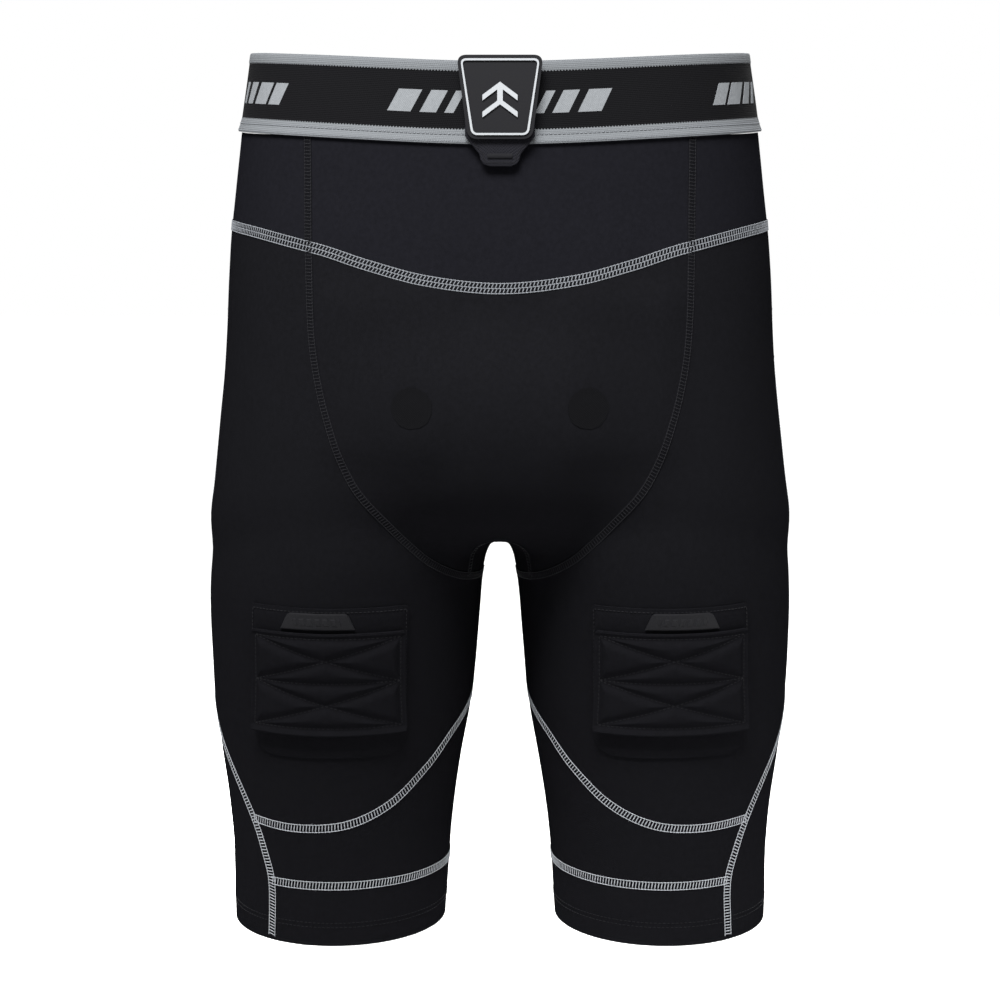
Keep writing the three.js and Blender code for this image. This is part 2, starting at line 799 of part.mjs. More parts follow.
// One face of the guard's bowl, `inset` inside its outer face.
function cupFace(inset) {
  const half = [0.14, 0.28, 0.42, 0.6, 0.76, 0.9, 0.97, 1];
  const across = [...half.map((s) => -s).reverse(), 0, ...half];
  const up = [0, 0.03, 0.1, 0.22, 0.36, 0.5, 0.64, 0.78, 0.9, 0.97, 1];
  return up.map((t) => {
    const z = lerp(cupBottom + inset, cupTop - inset, t);
    const reach = cupShare(t) * cupHalfWidth - inset;
    return across.map((s) => {
      const x = s * reach;
      const bulge = Math.sqrt(1 - Math.pow(Math.abs(s), 6)) * Math.sqrt(1 - Math.pow(Math.abs(2 * t - 1), 8));
      const front = facing(x, z).y + fabric + cupClearance + inset;
      return v(x, lerp(rimY(z), front, bulge), z);
    });
  });
}

function cupShell() {
  const bowl = solidOf(closedSheet(cupFace(0), cupFace(cupWall)));
  const vent = (x) => {
    const bore = new THREE.CylinderGeometry(cupVentRadius, cupVentRadius, 300, 28);
    bore.translate(x, 0, cupBottom + cupVentRise);
    return solidOf(bore);
  };
  return geometryOf(bowl.subtract(vent(cupVentHalfSpan)).subtract(vent(-cupVentHalfSpan)));
}

function cupCushion() {
  const outline = (inset) => {
    const side = shares(14).map((t) => {
      const half = Math.max(cupShare(t) * cupHalfWidth - inset, cushionWidth);
      return new THREE.Vector2(half, lerp(cupBottom + inset, cupTop - inset, t));
    });
    return [...side, ...side.map((p) => new THREE.Vector2(-p.x, p.y)).reverse()];
  };
  const shape = new THREE.Shape(outline(0));
  shape.holes.push(new THREE.Path(outline(cushionWidth)));
  const options = { depth: cushionThickness, bevelEnabled: false, curveSegments: 1 };
  const geometry = new THREE.ExtrudeGeometry(shape, options);
  geometry.rotateX(Math.PI / 2);
  const lean = new THREE.Matrix4().makeShear(0, 0, 0, 0, 0, leanBack);
  geometry.applyMatrix4(lean);
  geometry.translate(0, rimY(0) + layerGap + cushionThickness, 0);
  return geometry;
}

// The front seams' x at a height, down the U seam.
function seamHalf(z) {
  const seam = new THREE.CatmullRomCurve3(frontU);
  let [above, below] = [0, 1];
  for (let i = 0; i < 30; i++) {
    const mid = (above + below) / 2;
    if (seam.getPoint(mid).z > z) above = mid;
    else below = mid;
  }
  return seam.getPoint(above).x;
}

// The mesh back wall and floor of the cup pocket: a trough that meets the front panels at its edges.
function pocketLiner() {
  const floorLevel = cupBottom - pocketRoom - linerThickness - 1;
  const up = [0, 0.03, 0.1, 0.2, 0.38, 0.6, 0.8].map((t) => floorLevel + t * cupHeight);
  const heights = [floorLevel - 0.01, ...up, cupTop + linerAbove];
  const face = (inset) =>
    heights.map((z, row) => {
      const share = (z - cupBottom) / cupHeight + 0.05;
      const wide = cupShare(Math.min(share, cupWidest)) * cupHalfWidth + pocketRoom;
      const edge = Math.max(seamHalf(Math.min(z, yokeFrontHeight)) - linerMargin, wide + 1);
      const corner = wide - inset * 0.6;
      const side = lerp(edge, corner, 0.6);
      const front = (x) => facing(x, z).y + fabric + linerSeam;
      const back = rimY(z) + layerGap + cushionThickness + pocketRoom - inset;
      const columns = [edge - inset * 0.6, side, corner, corner / 2, 0];
      const depths = [front(edge), lerp(front(edge), back, 0.5), back, back, back];
      const half = columns.map((x, c) => v(x, row === 0 ? front(x) : depths[c], row < 2 ? z + inset : z));
      return [...half, ...half.slice(0, -1).map((p) => v(-p.x, p.y, p.z)).reverse()];
    });
  return closedSheet(face(linerThickness), face(0));
}

// ---------------------------------------------------------------- closure tab

function plate(shape, near, thickness) {
  const options = { depth: thickness, bevelEnabled: false, curveSegments: 8 };
  const geometry = new THREE.ExtrudeGeometry(shape, options);
  geometry.rotateX(Math.PI / 2);
  geometry.translate(0, -near, 0);
  return geometry;
}

// Cuts a hole with the outline of `inner`, a shape drawn the same way round.
function pierce(shape, inner) {
  shape.holes.push(new THREE.Path(inner.getPoints(8).reverse()));
  return shape;
}

function box(width, depth, height, x, y, z) {
  const geometry = new THREE.BoxGeometry(width, depth, height);
  geometry.translate(x, y, z);
  return geometry;
}

// A trapezoid with round corners, wider at the top; `inset` shrinks it evenly.
function badgeShape(inset) {
  const r = badgeCorner - inset;
  const [top, bottom] = [badgeAbove - inset, -badgeBelow + inset];
  const [wide, narrow] = [badgeTopWidth / 2 - inset, badgeBottomWidth / 2 - inset];
  const side = new THREE.Vector2(wide - narrow, top - bottom).normalize();
  const shape = new THREE.Shape();
  shape.moveTo(-wide + r, top);
  shape.lineTo(wide - r, top);
  shape.quadraticCurveTo(wide, top, wide - side.x * r, top - side.y * r);
  shape.lineTo(narrow + side.x * r, bottom + side.y * r);
  shape.quadraticCurveTo(narrow, bottom, narrow - r, bottom);
  shape.lineTo(-narrow + r, bottom);
  shape.quadraticCurveTo(-narrow, bottom, -narrow - side.x * r, bottom + side.y * r);
  shape.lineTo(-wide + side.x * r, top - side.y * r);
  shape.quadraticCurveTo(-wide, top, -wide + r, top);
  return shape;
}

function rectangle(width, high, low) {
  const shape = new THREE.Shape();
  shape.moveTo(-width / 2, low);
  shape.lineTo(width / 2, low);
  shape.lineTo(width / 2, high);
  shape.lineTo(-width / 2, high);
  shape.closePath();
  return shape;
}

// A generic mark: two chevrons on a short spine.
function emblemShape() {
  const half = 9.5;
  const stroke = 3;
  const rise = 7;
  const pitch = 9;
  const spine = 1.5;
  const middle = (badgeAbove - badgeBelow) / 2;
  const high = middle + pitch / 2 + rise / 2;
  const low = high - pitch;
  const shape = new THREE.Shape();
  shape.moveTo(0, high);
  shape.lineTo(half, high - rise);
  shape.lineTo(half, high - rise - stroke);
  shape.lineTo(spine, high - stroke - (rise * spine) / half);
  shape.lineTo(spine, low - (rise * spine) / half);
  shape.lineTo(half, low - rise);
  shape.lineTo(half, low - rise - stroke);
  shape.lineTo(0, low - stroke);
  shape.lineTo(-half, low - rise - stroke);
  shape.lineTo(-half, low - rise);
  shape.lineTo(-spine, low - (rise * spine) / half);
  shape.lineTo(-spine, high - stroke - (rise * spine) / half);
  shape.lineTo(-half, high - rise - stroke);
  shape.lineTo(-half, high - rise);
  shape.closePath();
  return shape;
}

// The strap's front face: straight sides, then a taper to a round tip.
function tongueShape(half, top) {
  const [tip, shoulder, bottom] = [strapTipHalf, -strapShoulder, -strapTongue];
  const shape = new THREE.Shape();
  shape.moveTo(-half, top);
  shape.lineTo(half, top);
  shape.lineTo(half, shoulder);
  shape.lineTo(tip + 2, bottom + tip * 0.7);
  shape.quadraticCurveTo(tip, bottom, 0, bottom);
  shape.quadraticCurveTo(-tip, bottom, -tip - 2, bottom + tip * 0.7);
  shape.lineTo(-half, shoulder);
  shape.closePath();
  return shape;
}

// In the closure's own frame the band's outer face is y = 0 and its top edge is z = 0.
const anchorY = bandThickness + layerGap;
const hingeY = anchorY + anchorThickness / 2;
const capTop = 2; // strap's fold over the band's top edge
const capThickness = 1.2;
const capGap = 0.2; // between the fold and the anchor

function closureTab() {
  const top = facing(0, bandTop(0));
  const bottom = facing(0, bandBottom(0));
  const closure = new THREE.Group();
  closure.position.set(0, top.y - bandProud, top.z);
  closure.rotation.x = -Math.atan2(top.y - bottom.y, bandHeight);
  shorts.add(closure);

  const loopNear = layerGap;
  const hookNear = loopNear + hookThickness + layerGap;
  const strapNear = hookNear + hookThickness + layerGap;
  const badgeNear = strapNear + strapThickness + layerGap;
  const reliefNear = badgeNear + badgeThickness + 0.3;

  const anchor = rectangle(anchorWidth, capGap, -anchorDrop);
  add("closure_anchor", plate(anchor, -anchorY - anchorThickness, anchorThickness), cloths(black), closure);
  const loop = rectangle(closurePatchWidth, -closurePatchTop, -closurePatchBottom);
  add("closure_loop_patch", plate(loop, loopNear, hookThickness), cloths(softBlack), closure);
  const inset = closureHookInset;
  const hook = rectangle(closurePatchWidth - 2 * inset, -closurePatchTop - inset, inset - closurePatchBottom);
  add("closure_hook_patch", plate(hook, hookNear, hookThickness), plastic(black, 0.8), closure);

  const tongue = plate(tongueShape(strapWidth / 2, capTop), strapNear, strapThickness);
  const capEnd = hingeY - capGap;
  const capStart = -strapNear - strapThickness / 2;
  const capMiddle = capTop - capThickness / 2;
  const cap = box(strapWidth, capEnd - capStart, capThickness, 0, (capStart + capEnd) / 2, capMiddle);
  add("closure_strap", geometryOf(solidOf(tongue).add(solidOf(cap))), cloths(black), closure);

  const tack = rectangle(barTackWidth, 1 - strapTongue + 2 * barTackHeight, 1 - strapTongue + barTackHeight);
  add("closure_bar_tack", plate(tack, badgeNear, 1), cloths(softBlack), closure);

  add("closure_badge", plate(badgeShape(0), badgeNear, badgeThickness), plastic(softBlack, 0.6), closure);
  const rim = pierce(badgeShape(badgeRimInset), badgeShape(badgeRimInset + badgeRimWidth));
  add("closure_badge_rim", plate(rim, reliefNear, reliefThickness), plastic(grey, 0.4), closure);
  add("closure_badge_emblem", plate(emblemShape(), reliefNear, reliefThickness), plastic(grey, 0.4), closure);
}

function sizeLabel() {
  const half = 14;
  const columns = 4;
  const low = waistHeight - bandHeight + 6;
  const high = waistHeight - 8;
  const grid = shares(2).map((t) =>
    shares(columns).map((s) => facing(lerp(-half, half, s), lerp(high, low, t), 1)),
  );
  add("size_label", cloth(grid, bandProud - bandThickness - layerGap - 0.5, 0.5), cloths(grey));
}

bodyPanels();
sockTab("sock_tab_front_left", -1, false);
sockTab("sock_tab_front_right", -1, true);
sockTab("sock_tab_back_left", 1, false);
sockTab("sock_tab_back_right", 1, true);
add("cup_shell", cupShell(), plastic(cupColour, 0.4));
add("cup_edge_cushion", cupCushion(), plastic(softBlack, 0.8));
add("pocket_liner", pocketLiner(), cloths(black));
closureTab();
sizeLabel();

export default shorts;
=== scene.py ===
import math

import bpy
import numpy as np
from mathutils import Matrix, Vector


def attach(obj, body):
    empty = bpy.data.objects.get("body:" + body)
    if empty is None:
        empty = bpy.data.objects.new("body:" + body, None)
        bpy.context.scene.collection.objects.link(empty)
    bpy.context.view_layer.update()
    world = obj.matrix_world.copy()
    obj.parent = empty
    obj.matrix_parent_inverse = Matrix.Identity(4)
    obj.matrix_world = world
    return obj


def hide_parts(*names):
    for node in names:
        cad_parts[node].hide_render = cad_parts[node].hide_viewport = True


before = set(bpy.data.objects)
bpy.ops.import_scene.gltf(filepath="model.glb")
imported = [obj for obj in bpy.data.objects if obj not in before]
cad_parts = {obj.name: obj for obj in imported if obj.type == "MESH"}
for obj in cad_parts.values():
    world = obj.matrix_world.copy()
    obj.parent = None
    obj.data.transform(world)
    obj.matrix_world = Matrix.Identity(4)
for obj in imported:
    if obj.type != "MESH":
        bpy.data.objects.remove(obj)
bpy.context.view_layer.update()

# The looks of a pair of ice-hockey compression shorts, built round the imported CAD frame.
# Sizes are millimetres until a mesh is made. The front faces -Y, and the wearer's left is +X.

MM = 0.001
DETAIL = 4  # how many times finer than the CAD's grids the cloth is

# ---------------------------------------------------------------- sizes shared with the CAD

WAIST_HEIGHT = 523
INSEAM = 230
WAIST_WIDTH = 282
WAIST_FRONT = 102
WAIST_BACK = 98
HIP_WIDTH = 351
BELLY_FRONT = 112
SEAT_BACK = 126
THIGH_FRONT = 95
THIGH_BACK = 101
HEM_WIDTH = 130
HEM_DEPTH = 131
LEG_SPACING = 198

FABRIC = 1.2
SEAM_GAP = 0.4
LAYER_GAP = 0.4
BAND_HEIGHT = 45
BAND_THICKNESS = 2
BAND_PROUD = 0.8
BAND_FRONT_DIP = 9

YOKE_SIDE_DROP = 54
YOKE_FRONT_DROP = 78
YOKE_BACK_RISE = 10
FRONT_SEAM_HALF = 106.5
APEX_HEIGHT = 142
KNEE_INNER = 143
KNEE_SIDE = 74
CUFF_SEAM = 37.5
HEM_FOLD = 14
HEM_FOLD_THICKNESS = 1
HEM_FOLD_GAP = 0.6

TAB_TURN = 87
TAB_DROP = 20
TAB_BASE = (98, 92, 1)  # width, height, thickness
FLAP = (91, 62, 2)
FLAP_DROP = 14
HOOK_MARGIN = 7
HOOK_THICKNESS = 0.8
LABEL_LOW = 43
LABEL_HIGH = 34
LABEL_TURN = 84
LABEL_HEIGHT = 10
LABEL_THICKNESS = 1.2
LABEL_CLEAR = 0.36  # how much farther out than the CAD's its back is
FLAP_SWING = 1.6

CUP_RISE = 34
CUP_HEIGHT = 127
CUP_LEAN = 14.5
CUP_RIM_DEPTH = 68
CUP_HALF = 96
CUP_WALL = 3
CUP_CLEARANCE = 1.2
VENT_RADIUS = 11.5
VENT_HALF_SPAN = 48.5
VENT_RISE = 62
CUSHION_WIDTH = 8
CUSHION_THICKNESS = 5
LINER_ABOVE = 11
LINER_MARGIN = 3
LINER_SEAM = 1.8
LINER_THICKNESS = 0.9
POCKET_ROOM = 1.6

YOKE_FRONT = WAIST_HEIGHT - BAND_FRONT_DIP - BAND_HEIGHT - YOKE_FRONT_DROP
YOKE_SIDE = WAIST_HEIGHT - BAND_HEIGHT - YOKE_SIDE_DROP
TAB_HIGH = INSEAM - TAB_DROP
FLAP_HIGH = TAB_HIGH - FLAP_DROP
HOOK_LIFT = LAYER_GAP + TAB_BASE[2] + LAYER_GAP
FLAP_LIFT = HOOK_LIFT + HOOK_THICKNESS + LAYER_GAP
CUP_BOTTOM = INSEAM + CUP_RISE
CUP_TOP = CUP_BOTTOM + CUP_HEIGHT

# ---------------------------------------------------------------- curves and the body shape


def lerp(a, b, t):
    return a + (b - a) * t


def shares(n):
    return np.linspace(0, 1, n + 1)


def smoothstep(x, low, high):
    t = np.clip((x - low) / (high - low), 0, 1)
    return t * t * (3 - 2 * t)


def through(pairs):
    """A smooth function through (position, value) pairs."""
    at = np.array([p[0] for p in pairs], float)
    value = np.array([p[1] for p in pairs], float)
    slope = np.empty(len(at))
    slope[1:-1] = (value[2:] - value[:-2]) / (at[2:] - at[:-2])
    slope[0] = (value[1] - value[0]) / (at[1] - at[0])
    slope[-1] = (value[-1] - value[-2]) / (at[-1] - at[-2])

    def curve(x):
        x = np.clip(np.asarray(x, float), at[0], at[-1])
        i = np.clip(np.searchsorted(at, x) - 1, 0, len(at) - 2)
        width = at[i + 1] - at[i]
        u = (x - at[i]) / width
        step = u * u * (3 - 2 * u)
        bend = width * u * (1 - u) * ((1 - u) * slope[i] - u * slope[i + 1])
        return value[i] * (1 - step) + value[i + 1] * step + bend

    return curve


def level(z):
    """0 at the hem, 1 at the crotch, 2 at the waist."""
    share = np.where(z < INSEAM, z / INSEAM, 1 + (z - INSEAM) / (WAIST_HEIGHT - INSEAM))
    return np.clip(share, 0, 2)


HEM_OUTER = LEG_SPACING / 2 + HEM_WIDTH / 2
HEM_INNER = LEG_SPACING / 2 - HEM_WIDTH / 2
HIP = HIP_WIDTH / 2
WAIST = WAIST_WIDTH / 2



def between(a, b, pairs):
    """(level, share from a to b) pairs as (level, millimetres) pairs."""
    return [(at, lerp(a, b, share)) for at, share in pairs]


outer_half = through(
    between(HEM_OUTER, HIP, ((0, 0), (0.26, 0.12), (0.48, 0.6), (0.62, 0.9), (0.87, 1)))
    + between(HIP, WAIST, ((1, 0.06), (1.14, 0.23), (1.38, 0.45), (1.62, 0.59), (1.84, 0.8), (2, 1)))
)
INNER_SHARES = ((0, 0), (0.26, 0.13), (0.42, 0.28), (0.58, 0.47), (0.74, 0.57), (0.91, 0.67), (1.05, 0.84))
inner_half = through(between(HEM_INNER, 0, INNER_SHARES) + [(1.2, 3), (2, 3)])
leg_front = through(
    between(HEM_DEPTH / 2, THIGH_FRONT, ((0, 0), (0.26, 0.13), (0.48, 0.36), (0.65, 0.6), (0.9, 1)))
    + [(1.1, THIGH_FRONT + 4), (1.5, THIGH_FRONT - 5), (2, WAIST_FRONT - 20)]
)
leg_back = through(
    between(HEM_DEPTH / 2, THIGH_BACK, ((0, 0), (0.26, 0.14), (0.48, 0.36), (0.65, 0.58), (0.92, 1)))
    + [(1.15, THIGH_BACK + 7), (1.5, THIGH_BACK - 6), (2, WAIST_BACK - 20)]
)
torso_front = through(
    [(0.9, BELLY_FRONT - 8), (1.1, BELLY_FRONT - 2), (1.3, BELLY_FRONT)]
    + between(BELLY_FRONT, WAIST_FRONT, ((1.55, 0.2), (1.8, 0.7), (2, 1)))
)
torso_back = through(
    [(0.9, SEAT_BACK - 18), (1.12, SEAT_BACK - 4), (1.28, SEAT_BACK)]
    + between(SEAT_BACK, WAIST_BACK, ((1.45, 0.18), (1.62, 0.5), (1.82, 0.88), (2, 1)))
)

TORSO_POWER = 2.35
CROTCH_LIFT = 8
UNDERSIDE_RISE = (26, 30)  # at 100 mm in front, and behind
LEG_JOIN = 14
CROTCH_JOIN = 24
POUCH_JOIN = 18
POUCH_CENTRE = (62, 87)
POUCH_SIZE = (88, 62, 70)
LOBE = {"inner": 30, "outer": 99, "low": 30, "high": 126, "rise": 2.4, "edge": 24}


def soft_min(a, b, reach):
    h = np.maximum(reach - np.abs(a - b), 0) / reach
    return np.minimum(a, b) - h * h * reach / 4


def lobe(x, z):
    """1 on the guard's two lobes, 0 in the channel between them and round them."""
    up = z - CUP_BOTTOM
    side = np.abs(x)

    def inside(away):
        return smoothstep(away, -LOBE["edge"] / 2, LOBE["edge"] / 2)

    across = inside(side - LOBE["inner"]) * inside(LOBE["outer"] - side)
    return across * inside(LOBE["high"] - up) * inside(up - LOBE["low"])


def field(p):
    """Below zero inside the body that fills the shorts, zero on the panels' outer face."""
    x, y, z = p[..., 0], p[..., 1], p[..., 2]
    side = np.abs(x)
    ahead = y < 0
    g = level(z)
    outer, inner = outer_half(g), inner_half(g)
    radius = (outer - inner) / 2
    leg_depth = np.where(ahead, leg_front(g), leg_back(g))
    leg_share = np.hypot((side - (outer + inner) / 2) / radius, y / leg_depth)
    leg = (leg_share - 1) * np.minimum(radius, leg_depth)

    depth = np.where(ahead, torso_front(g), torso_back(g))
    across = (side / outer) ** TORSO_POWER + (np.abs(y) / depth) ** TORSO_POWER
    wall = (across ** (1 / TORSO_POWER) - 1) * depth
    underside = INSEAM + CROTCH_LIFT + (y / 100) ** 2 * np.where(ahead, *UNDERSIDE_RISE)
    torso = -soft_min(-wall, z - underside, CROTCH_JOIN)

    pouch_share = np.sqrt(
        (x / POUCH_SIZE[0]) ** 2
        + ((y + POUCH_CENTRE[0]) / POUCH_SIZE[1]) ** 2
        + ((z - INSEAM - POUCH_CENTRE[1]) / POUCH_SIZE[2]) ** 2
    )
    pouch = (pouch_share - 1) * POUCH_SIZE[1]
    relief = np.where(ahead, LOBE["rise"] * lobe(x, z), 0)
    return soft_min(soft_min(leg, torso, LEG_JOIN), pouch, POUCH_JOIN) - relief


GRADIENT_STEP = 0.5
ONTO_ROUNDS = 10
CAST_ROUNDS = 32
FAR = 260  # beyond the body from any origin


def gradient(p):
    steps = GRADIENT_STEP * np.eye(3)
    return np.stack([(field(p + step) - field(p - step)) / (2 * GRADIENT_STEP) for step in steps], -1)


def outward(p):
    g = gradient(p)
    return g / np.linalg.norm(g, axis=-1, keepdims=True)


def onto(p):
    """Points near the surface, moved onto it."""
    for _ in range(ONTO_ROUNDS):
        g = gradient(p)
        p = p - g * (field(p) / (g * g).sum(-1))[..., None]
    return p


def cast(origin, way, reach):
    """The surface points on rays, at most reach from their origins."""
    near = np.zeros(origin.shape[:-1])
    far = near + reach
    for _ in range(CAST_ROUNDS):
        mid = (near + far) / 2
        inside = field(origin + way * mid[..., None]) < 0
        near = np.where(inside, mid, near)
        far = np.where(inside, far, mid)
    return origin + way * near[..., None]


def stacked(*parts):
    return np.stack(np.broadcast_arrays(*[np.asarray(a, float) for a in parts]), -1)


def on_torso(angle, z):
    """Round the torso: 0 degrees at the front centre, 90 at the wearer's left, 180 at the back."""
    a = np.radians(angle)
    origin = stacked(0 * a, 0, z)
    return cast(origin, stacked(np.sin(a), -np.cos(a), 0 * origin[..., 0]), FAR)


def leg_axis(z):
    return (outer_half(level(z)) + inner_half(level(z))) / 2


def on_leg(angle, z):
    """Round the left leg: 0 degrees at the outer side, 90 front, 180 inner, 270 back."""
    a = np.radians(angle)
    axis = leg_axis(np.asarray(z, float))
    origin = stacked(axis + 0 * a, 0, z)
    way = stacked(np.cos(a), -np.sin(a), 0 * origin[..., 0])
    inward = np.where(way[..., 0] < -1e-9, -way[..., 0], 1e-9)
    return cast(origin, way, np.minimum(FAR, origin[..., 0] / inward))


def leg_angle(p, behind):
    angle = np.degrees(np.arctan2(-p[..., 1], p[..., 0] - leg_axis(p[..., 2])))
    return np.where(angle < 0, angle + 360, angle) if behind else np.abs(angle)


def torso_angle(p):
    return np.degrees(np.arctan2(p[..., 0], -p[..., 1]))


def facing(x, z, face=-1):
    """The surface at a given x and height, on the front (-1) or the back (+1)."""
    origin = stacked(x, 0, z)
    return cast(origin, np.broadcast_to(np.array([0.0, face, 0.0]), origin.shape), FAR)


RIPPLE_COUNT = 22
RIPPLE_AMOUNT = 0.34
RIPPLE_LENGTHS = (26, 95)
_random = np.random.default_rng(11)
_ways = _random.normal(size=(RIPPLE_COUNT, 3))
_ways /= np.linalg.norm(_ways, axis=1, keepdims=True)
_wavelengths = _random.uniform(*RIPPLE_LENGTHS, size=RIPPLE_COUNT)
RIPPLE_WAVES = _ways * (2 * np.pi / _wavelengths)[:, None]
RIPPLE_PHASES = _random.uniform(0, 2 * np.pi, size=RIPPLE_COUNT)
RIPPLE_SIZES = RIPPLE_AMOUNT * _wavelengths / _wavelengths.sum() * 3


def ripple(p):
    """The slight unevenness of cloth that is stretched over a body."""
    total = np.zeros(p.shape[:-1])
    for wave, phase, size in zip(RIPPLE_WAVES, RIPPLE_PHASES, RIPPLE_SIZES):
        total += size * np.sin(p @ wave + phase)
    return total * smoothstep(p[..., 2], 0, 25)


def raised(base, lift):
    """Surface points, lifted along their normals. Points on the floor stay on it."""
    out = base + outward(base) * (np.asarray(lift) + ripple(base))[..., None]
    out[..., 2] = np.where(base[..., 2] < 1e-6, 0, out[..., 2])
    return out


# ---------------------------------------------------------------- seam lines


def band_top(angle):
    return WAIST_HEIGHT - BAND_FRONT_DIP * np.maximum(0, np.cos(np.radians(angle))) ** 1.5


def band_bottom(angle):
    return band_top(angle) - BAND_HEIGHT


yoke_rise = through(
    [(-21, 0.13), (0, 0), (21, 0.13), (36, 0.38), (48, 0.64), (68, 0.92), (90, 1), (111, 0.92)]
)


def yoke_seam(angle):
    a = np.abs((np.asarray(angle, float) + 540) % 360 - 180)
    ahead = lerp(YOKE_FRONT, YOKE_SIDE, yoke_rise(a))
    return np.where(a <= 90, ahead, YOKE_SIDE + YOKE_BACK_RISE * (1 - yoke_rise(180 - a)))


def seam_angle(z, face):
    return torso_angle(facing(FRONT_SEAM_HALF, z, face))


# The U seam: x as a share of FRONT_SEAM_HALF, depth of BELLY_FRONT, height from crotch to yoke.
U_SEAM = (
    (1, 0.82, 1),
    (0.98, 0.87, 0.7),
    (0.94, 0.89, 0.555),
    (0.866, 0.91, 0.405),
    (0.77, 0.91, 0.28),
    (0.61, 0.88, 0.165),
    (0.49, 0.82, 0.087),
    (0.35, 0.75, 0.015),
    (0.19, 0.57, -0.045),
    (0.115, 0.27, -0.07),
    (0.1, 0, -0.075),
)
U_STEPS = 13 * DETAIL
GUSSET_STEPS = 2 * DETAIL
INSEAM_STEPS = 4 * DETAIL
DIAGONAL_STEPS = 4 * DETAIL
SIDE_STEPS = U_STEPS + INSEAM_STEPS - DIAGONAL_STEPS
LEG_COLUMNS = 11 * DETAIL
FRONT_COLUMNS = 20 * DETAIL
BACK_COLUMNS = 14 * DETAIL


def lengths_along(points):
    """How far along its line each point is."""
    return np.concatenate([[0], np.cumsum(np.linalg.norm(np.diff(points, axis=0), axis=1))])


def evenly(points, count):
    """count + 1 points at even distances along a line."""
    along = lengths_along(points)
    at = np.linspace(0, along[-1], count + 1)
    return np.stack([np.interp(at, along, points[:, k]) for k in range(points.shape[1])], -1)


def spline(points, count):
    """A centripetal Catmull-Rom curve through points, as count + 1 evenly spaced ones."""
    ends = np.vstack([2 * points[0] - points[1], points, 2 * points[-1] - points[-2]])
    t = shares(24)[:-1, None]
    out = []
    for a, b, c, d in zip(ends, ends[1:], ends[2:], ends[3:]):
        d0, d1, d2 = (math.sqrt(np.linalg.norm(q - p)) for p, q in ((a, b), (b, c), (c, d)))
        m1 = ((b - a) / d0 - (c - a) / (d0 + d1) + (c - b) / d1) * d1
        m2 = ((c - b) / d1 - (d - b) / (d1 + d2) + (d - c) / d2) * d1
        out.append(b + m1 * t + (-3 * b + 3 * c - 2 * m1 - m2) * t**2 + (2 * b - 2 * c + m1 + m2) * t**3)
    return evenly(np.vstack([*out, points[-1:]]), count)


def u_seam_points(face):
    top = yoke_seam(seam_angle((YOKE_FRONT + YOKE_SIDE) / 2, face))
    points = []
    for i, (across, depth, height) in enumerate(U_SEAM):
        z = top if i == 0 else lerp(INSEAM, top, height)
        p = np.array([across * FRONT_SEAM_HALF, face * depth * BELLY_FRONT, float(z)])
        points.append(facing(p[0], p[2], face) if height > 0.1 else onto(p))
    points[-1] = on_leg(180, points[-1][2])
    line = onto(spline(np.array(points), U_STEPS))
    line[0], line[-1] = points[0], points[-1]
    return line


FRONT_U = u_seam_points(-1)
BACK_U = u_seam_points(1)
GUSSET_LEVEL = FRONT_U[-1, 2]

KNEE_DROP = KNEE_INNER - KNEE_SIDE
knee_seam = through(
    [(45, KNEE_SIDE), (75, KNEE_SIDE - 1)]
    + [
        (at, KNEE_SIDE + share * KNEE_DROP)
        for at, share in ((97, 0.03), (118, 0.2), (136, 0.47), (152, 0.74), (180, 1))
    ]
)
gusset_angle = through(
    [
        (0, 55),
        (CUFF_SEAM, 56),
        (lerp(CUFF_SEAM, KNEE_SIDE, 0.5), 51.5),
        (KNEE_SIDE, 45),
        (lerp(KNEE_SIDE, APEX_HEIGHT, 0.33), 33),
        (lerp(KNEE_SIDE, APEX_HEIGHT, 0.66), 16.5),
        (APEX_HEIGHT, 0),
    ]
)

# ---------------------------------------------------------------- the panels' grids of surface points

DIAGONAL_HEIGHTS = lerp(APEX_HEIGHT, KNEE_SIDE, shares(DIAGONAL_STEPS))


def mirrored(grid):
    return grid * (-1, 1, 1)


def both_sides(grid):
    """A line or grid of the left leg, and its mirror image, with their names."""
    return ("left", grid), ("right", mirrored(grid))


def leg_panel(behind):
    """The left leg's front or back panel, as a patch between its four seams in (angle, height)."""
    u = BACK_U if behind else FRONT_U

    def turned(angle):
        return 360 - angle if behind else angle

    inner = np.column_stack([leg_angle(u, behind), u[:, 2]])
    inner[-1, 0] = 180
    inseam = lerp(GUSSET_LEVEL, KNEE_INNER, shares(INSEAM_STEPS)[1:])
    inner = np.vstack([inner, np.column_stack([np.full(INSEAM_STEPS, 180), inseam])])
    side = lerp(YOKE_SIDE, APEX_HEIGHT, shares(SIDE_STEPS)[:-1])
    outer = np.vstack(
        [
            np.column_stack([np.full(SIDE_STEPS, turned(0)), side]),
            np.column_stack([turned(gusset_angle(DIAGONAL_HEIGHTS)), DIAGONAL_HEIGHTS]),
        ]
    )
    s = shares(LEG_COLUMNS)
    around = lerp(torso_angle(u[0]), 90, s)
    p = on_torso(around, yoke_seam(around))
    top = np.column_stack([leg_angle(p, behind), p[:, 2]])
    top[0], top[-1] = inner[0], outer[0]
    low = lerp(180, gusset_angle(KNEE_SIDE), s)
    bottom = np.column_stack([turned(low), knee_seam(low)])

    t = shares(len(inner) - 1)[:, None, None]
    s = s[None, :, None]
    across = lerp(inner[:, None], outer[:, None], s)
    down = lerp(top[None], bottom[None], t)
    corners = lerp(lerp(top[0], top[-1], s), lerp(bottom[0], bottom[-1], s), t)
    blend = across + down - corners
    grid = on_leg(blend[..., 0], blend[..., 1])
    grid[: len(u), 0] = u
    return grid


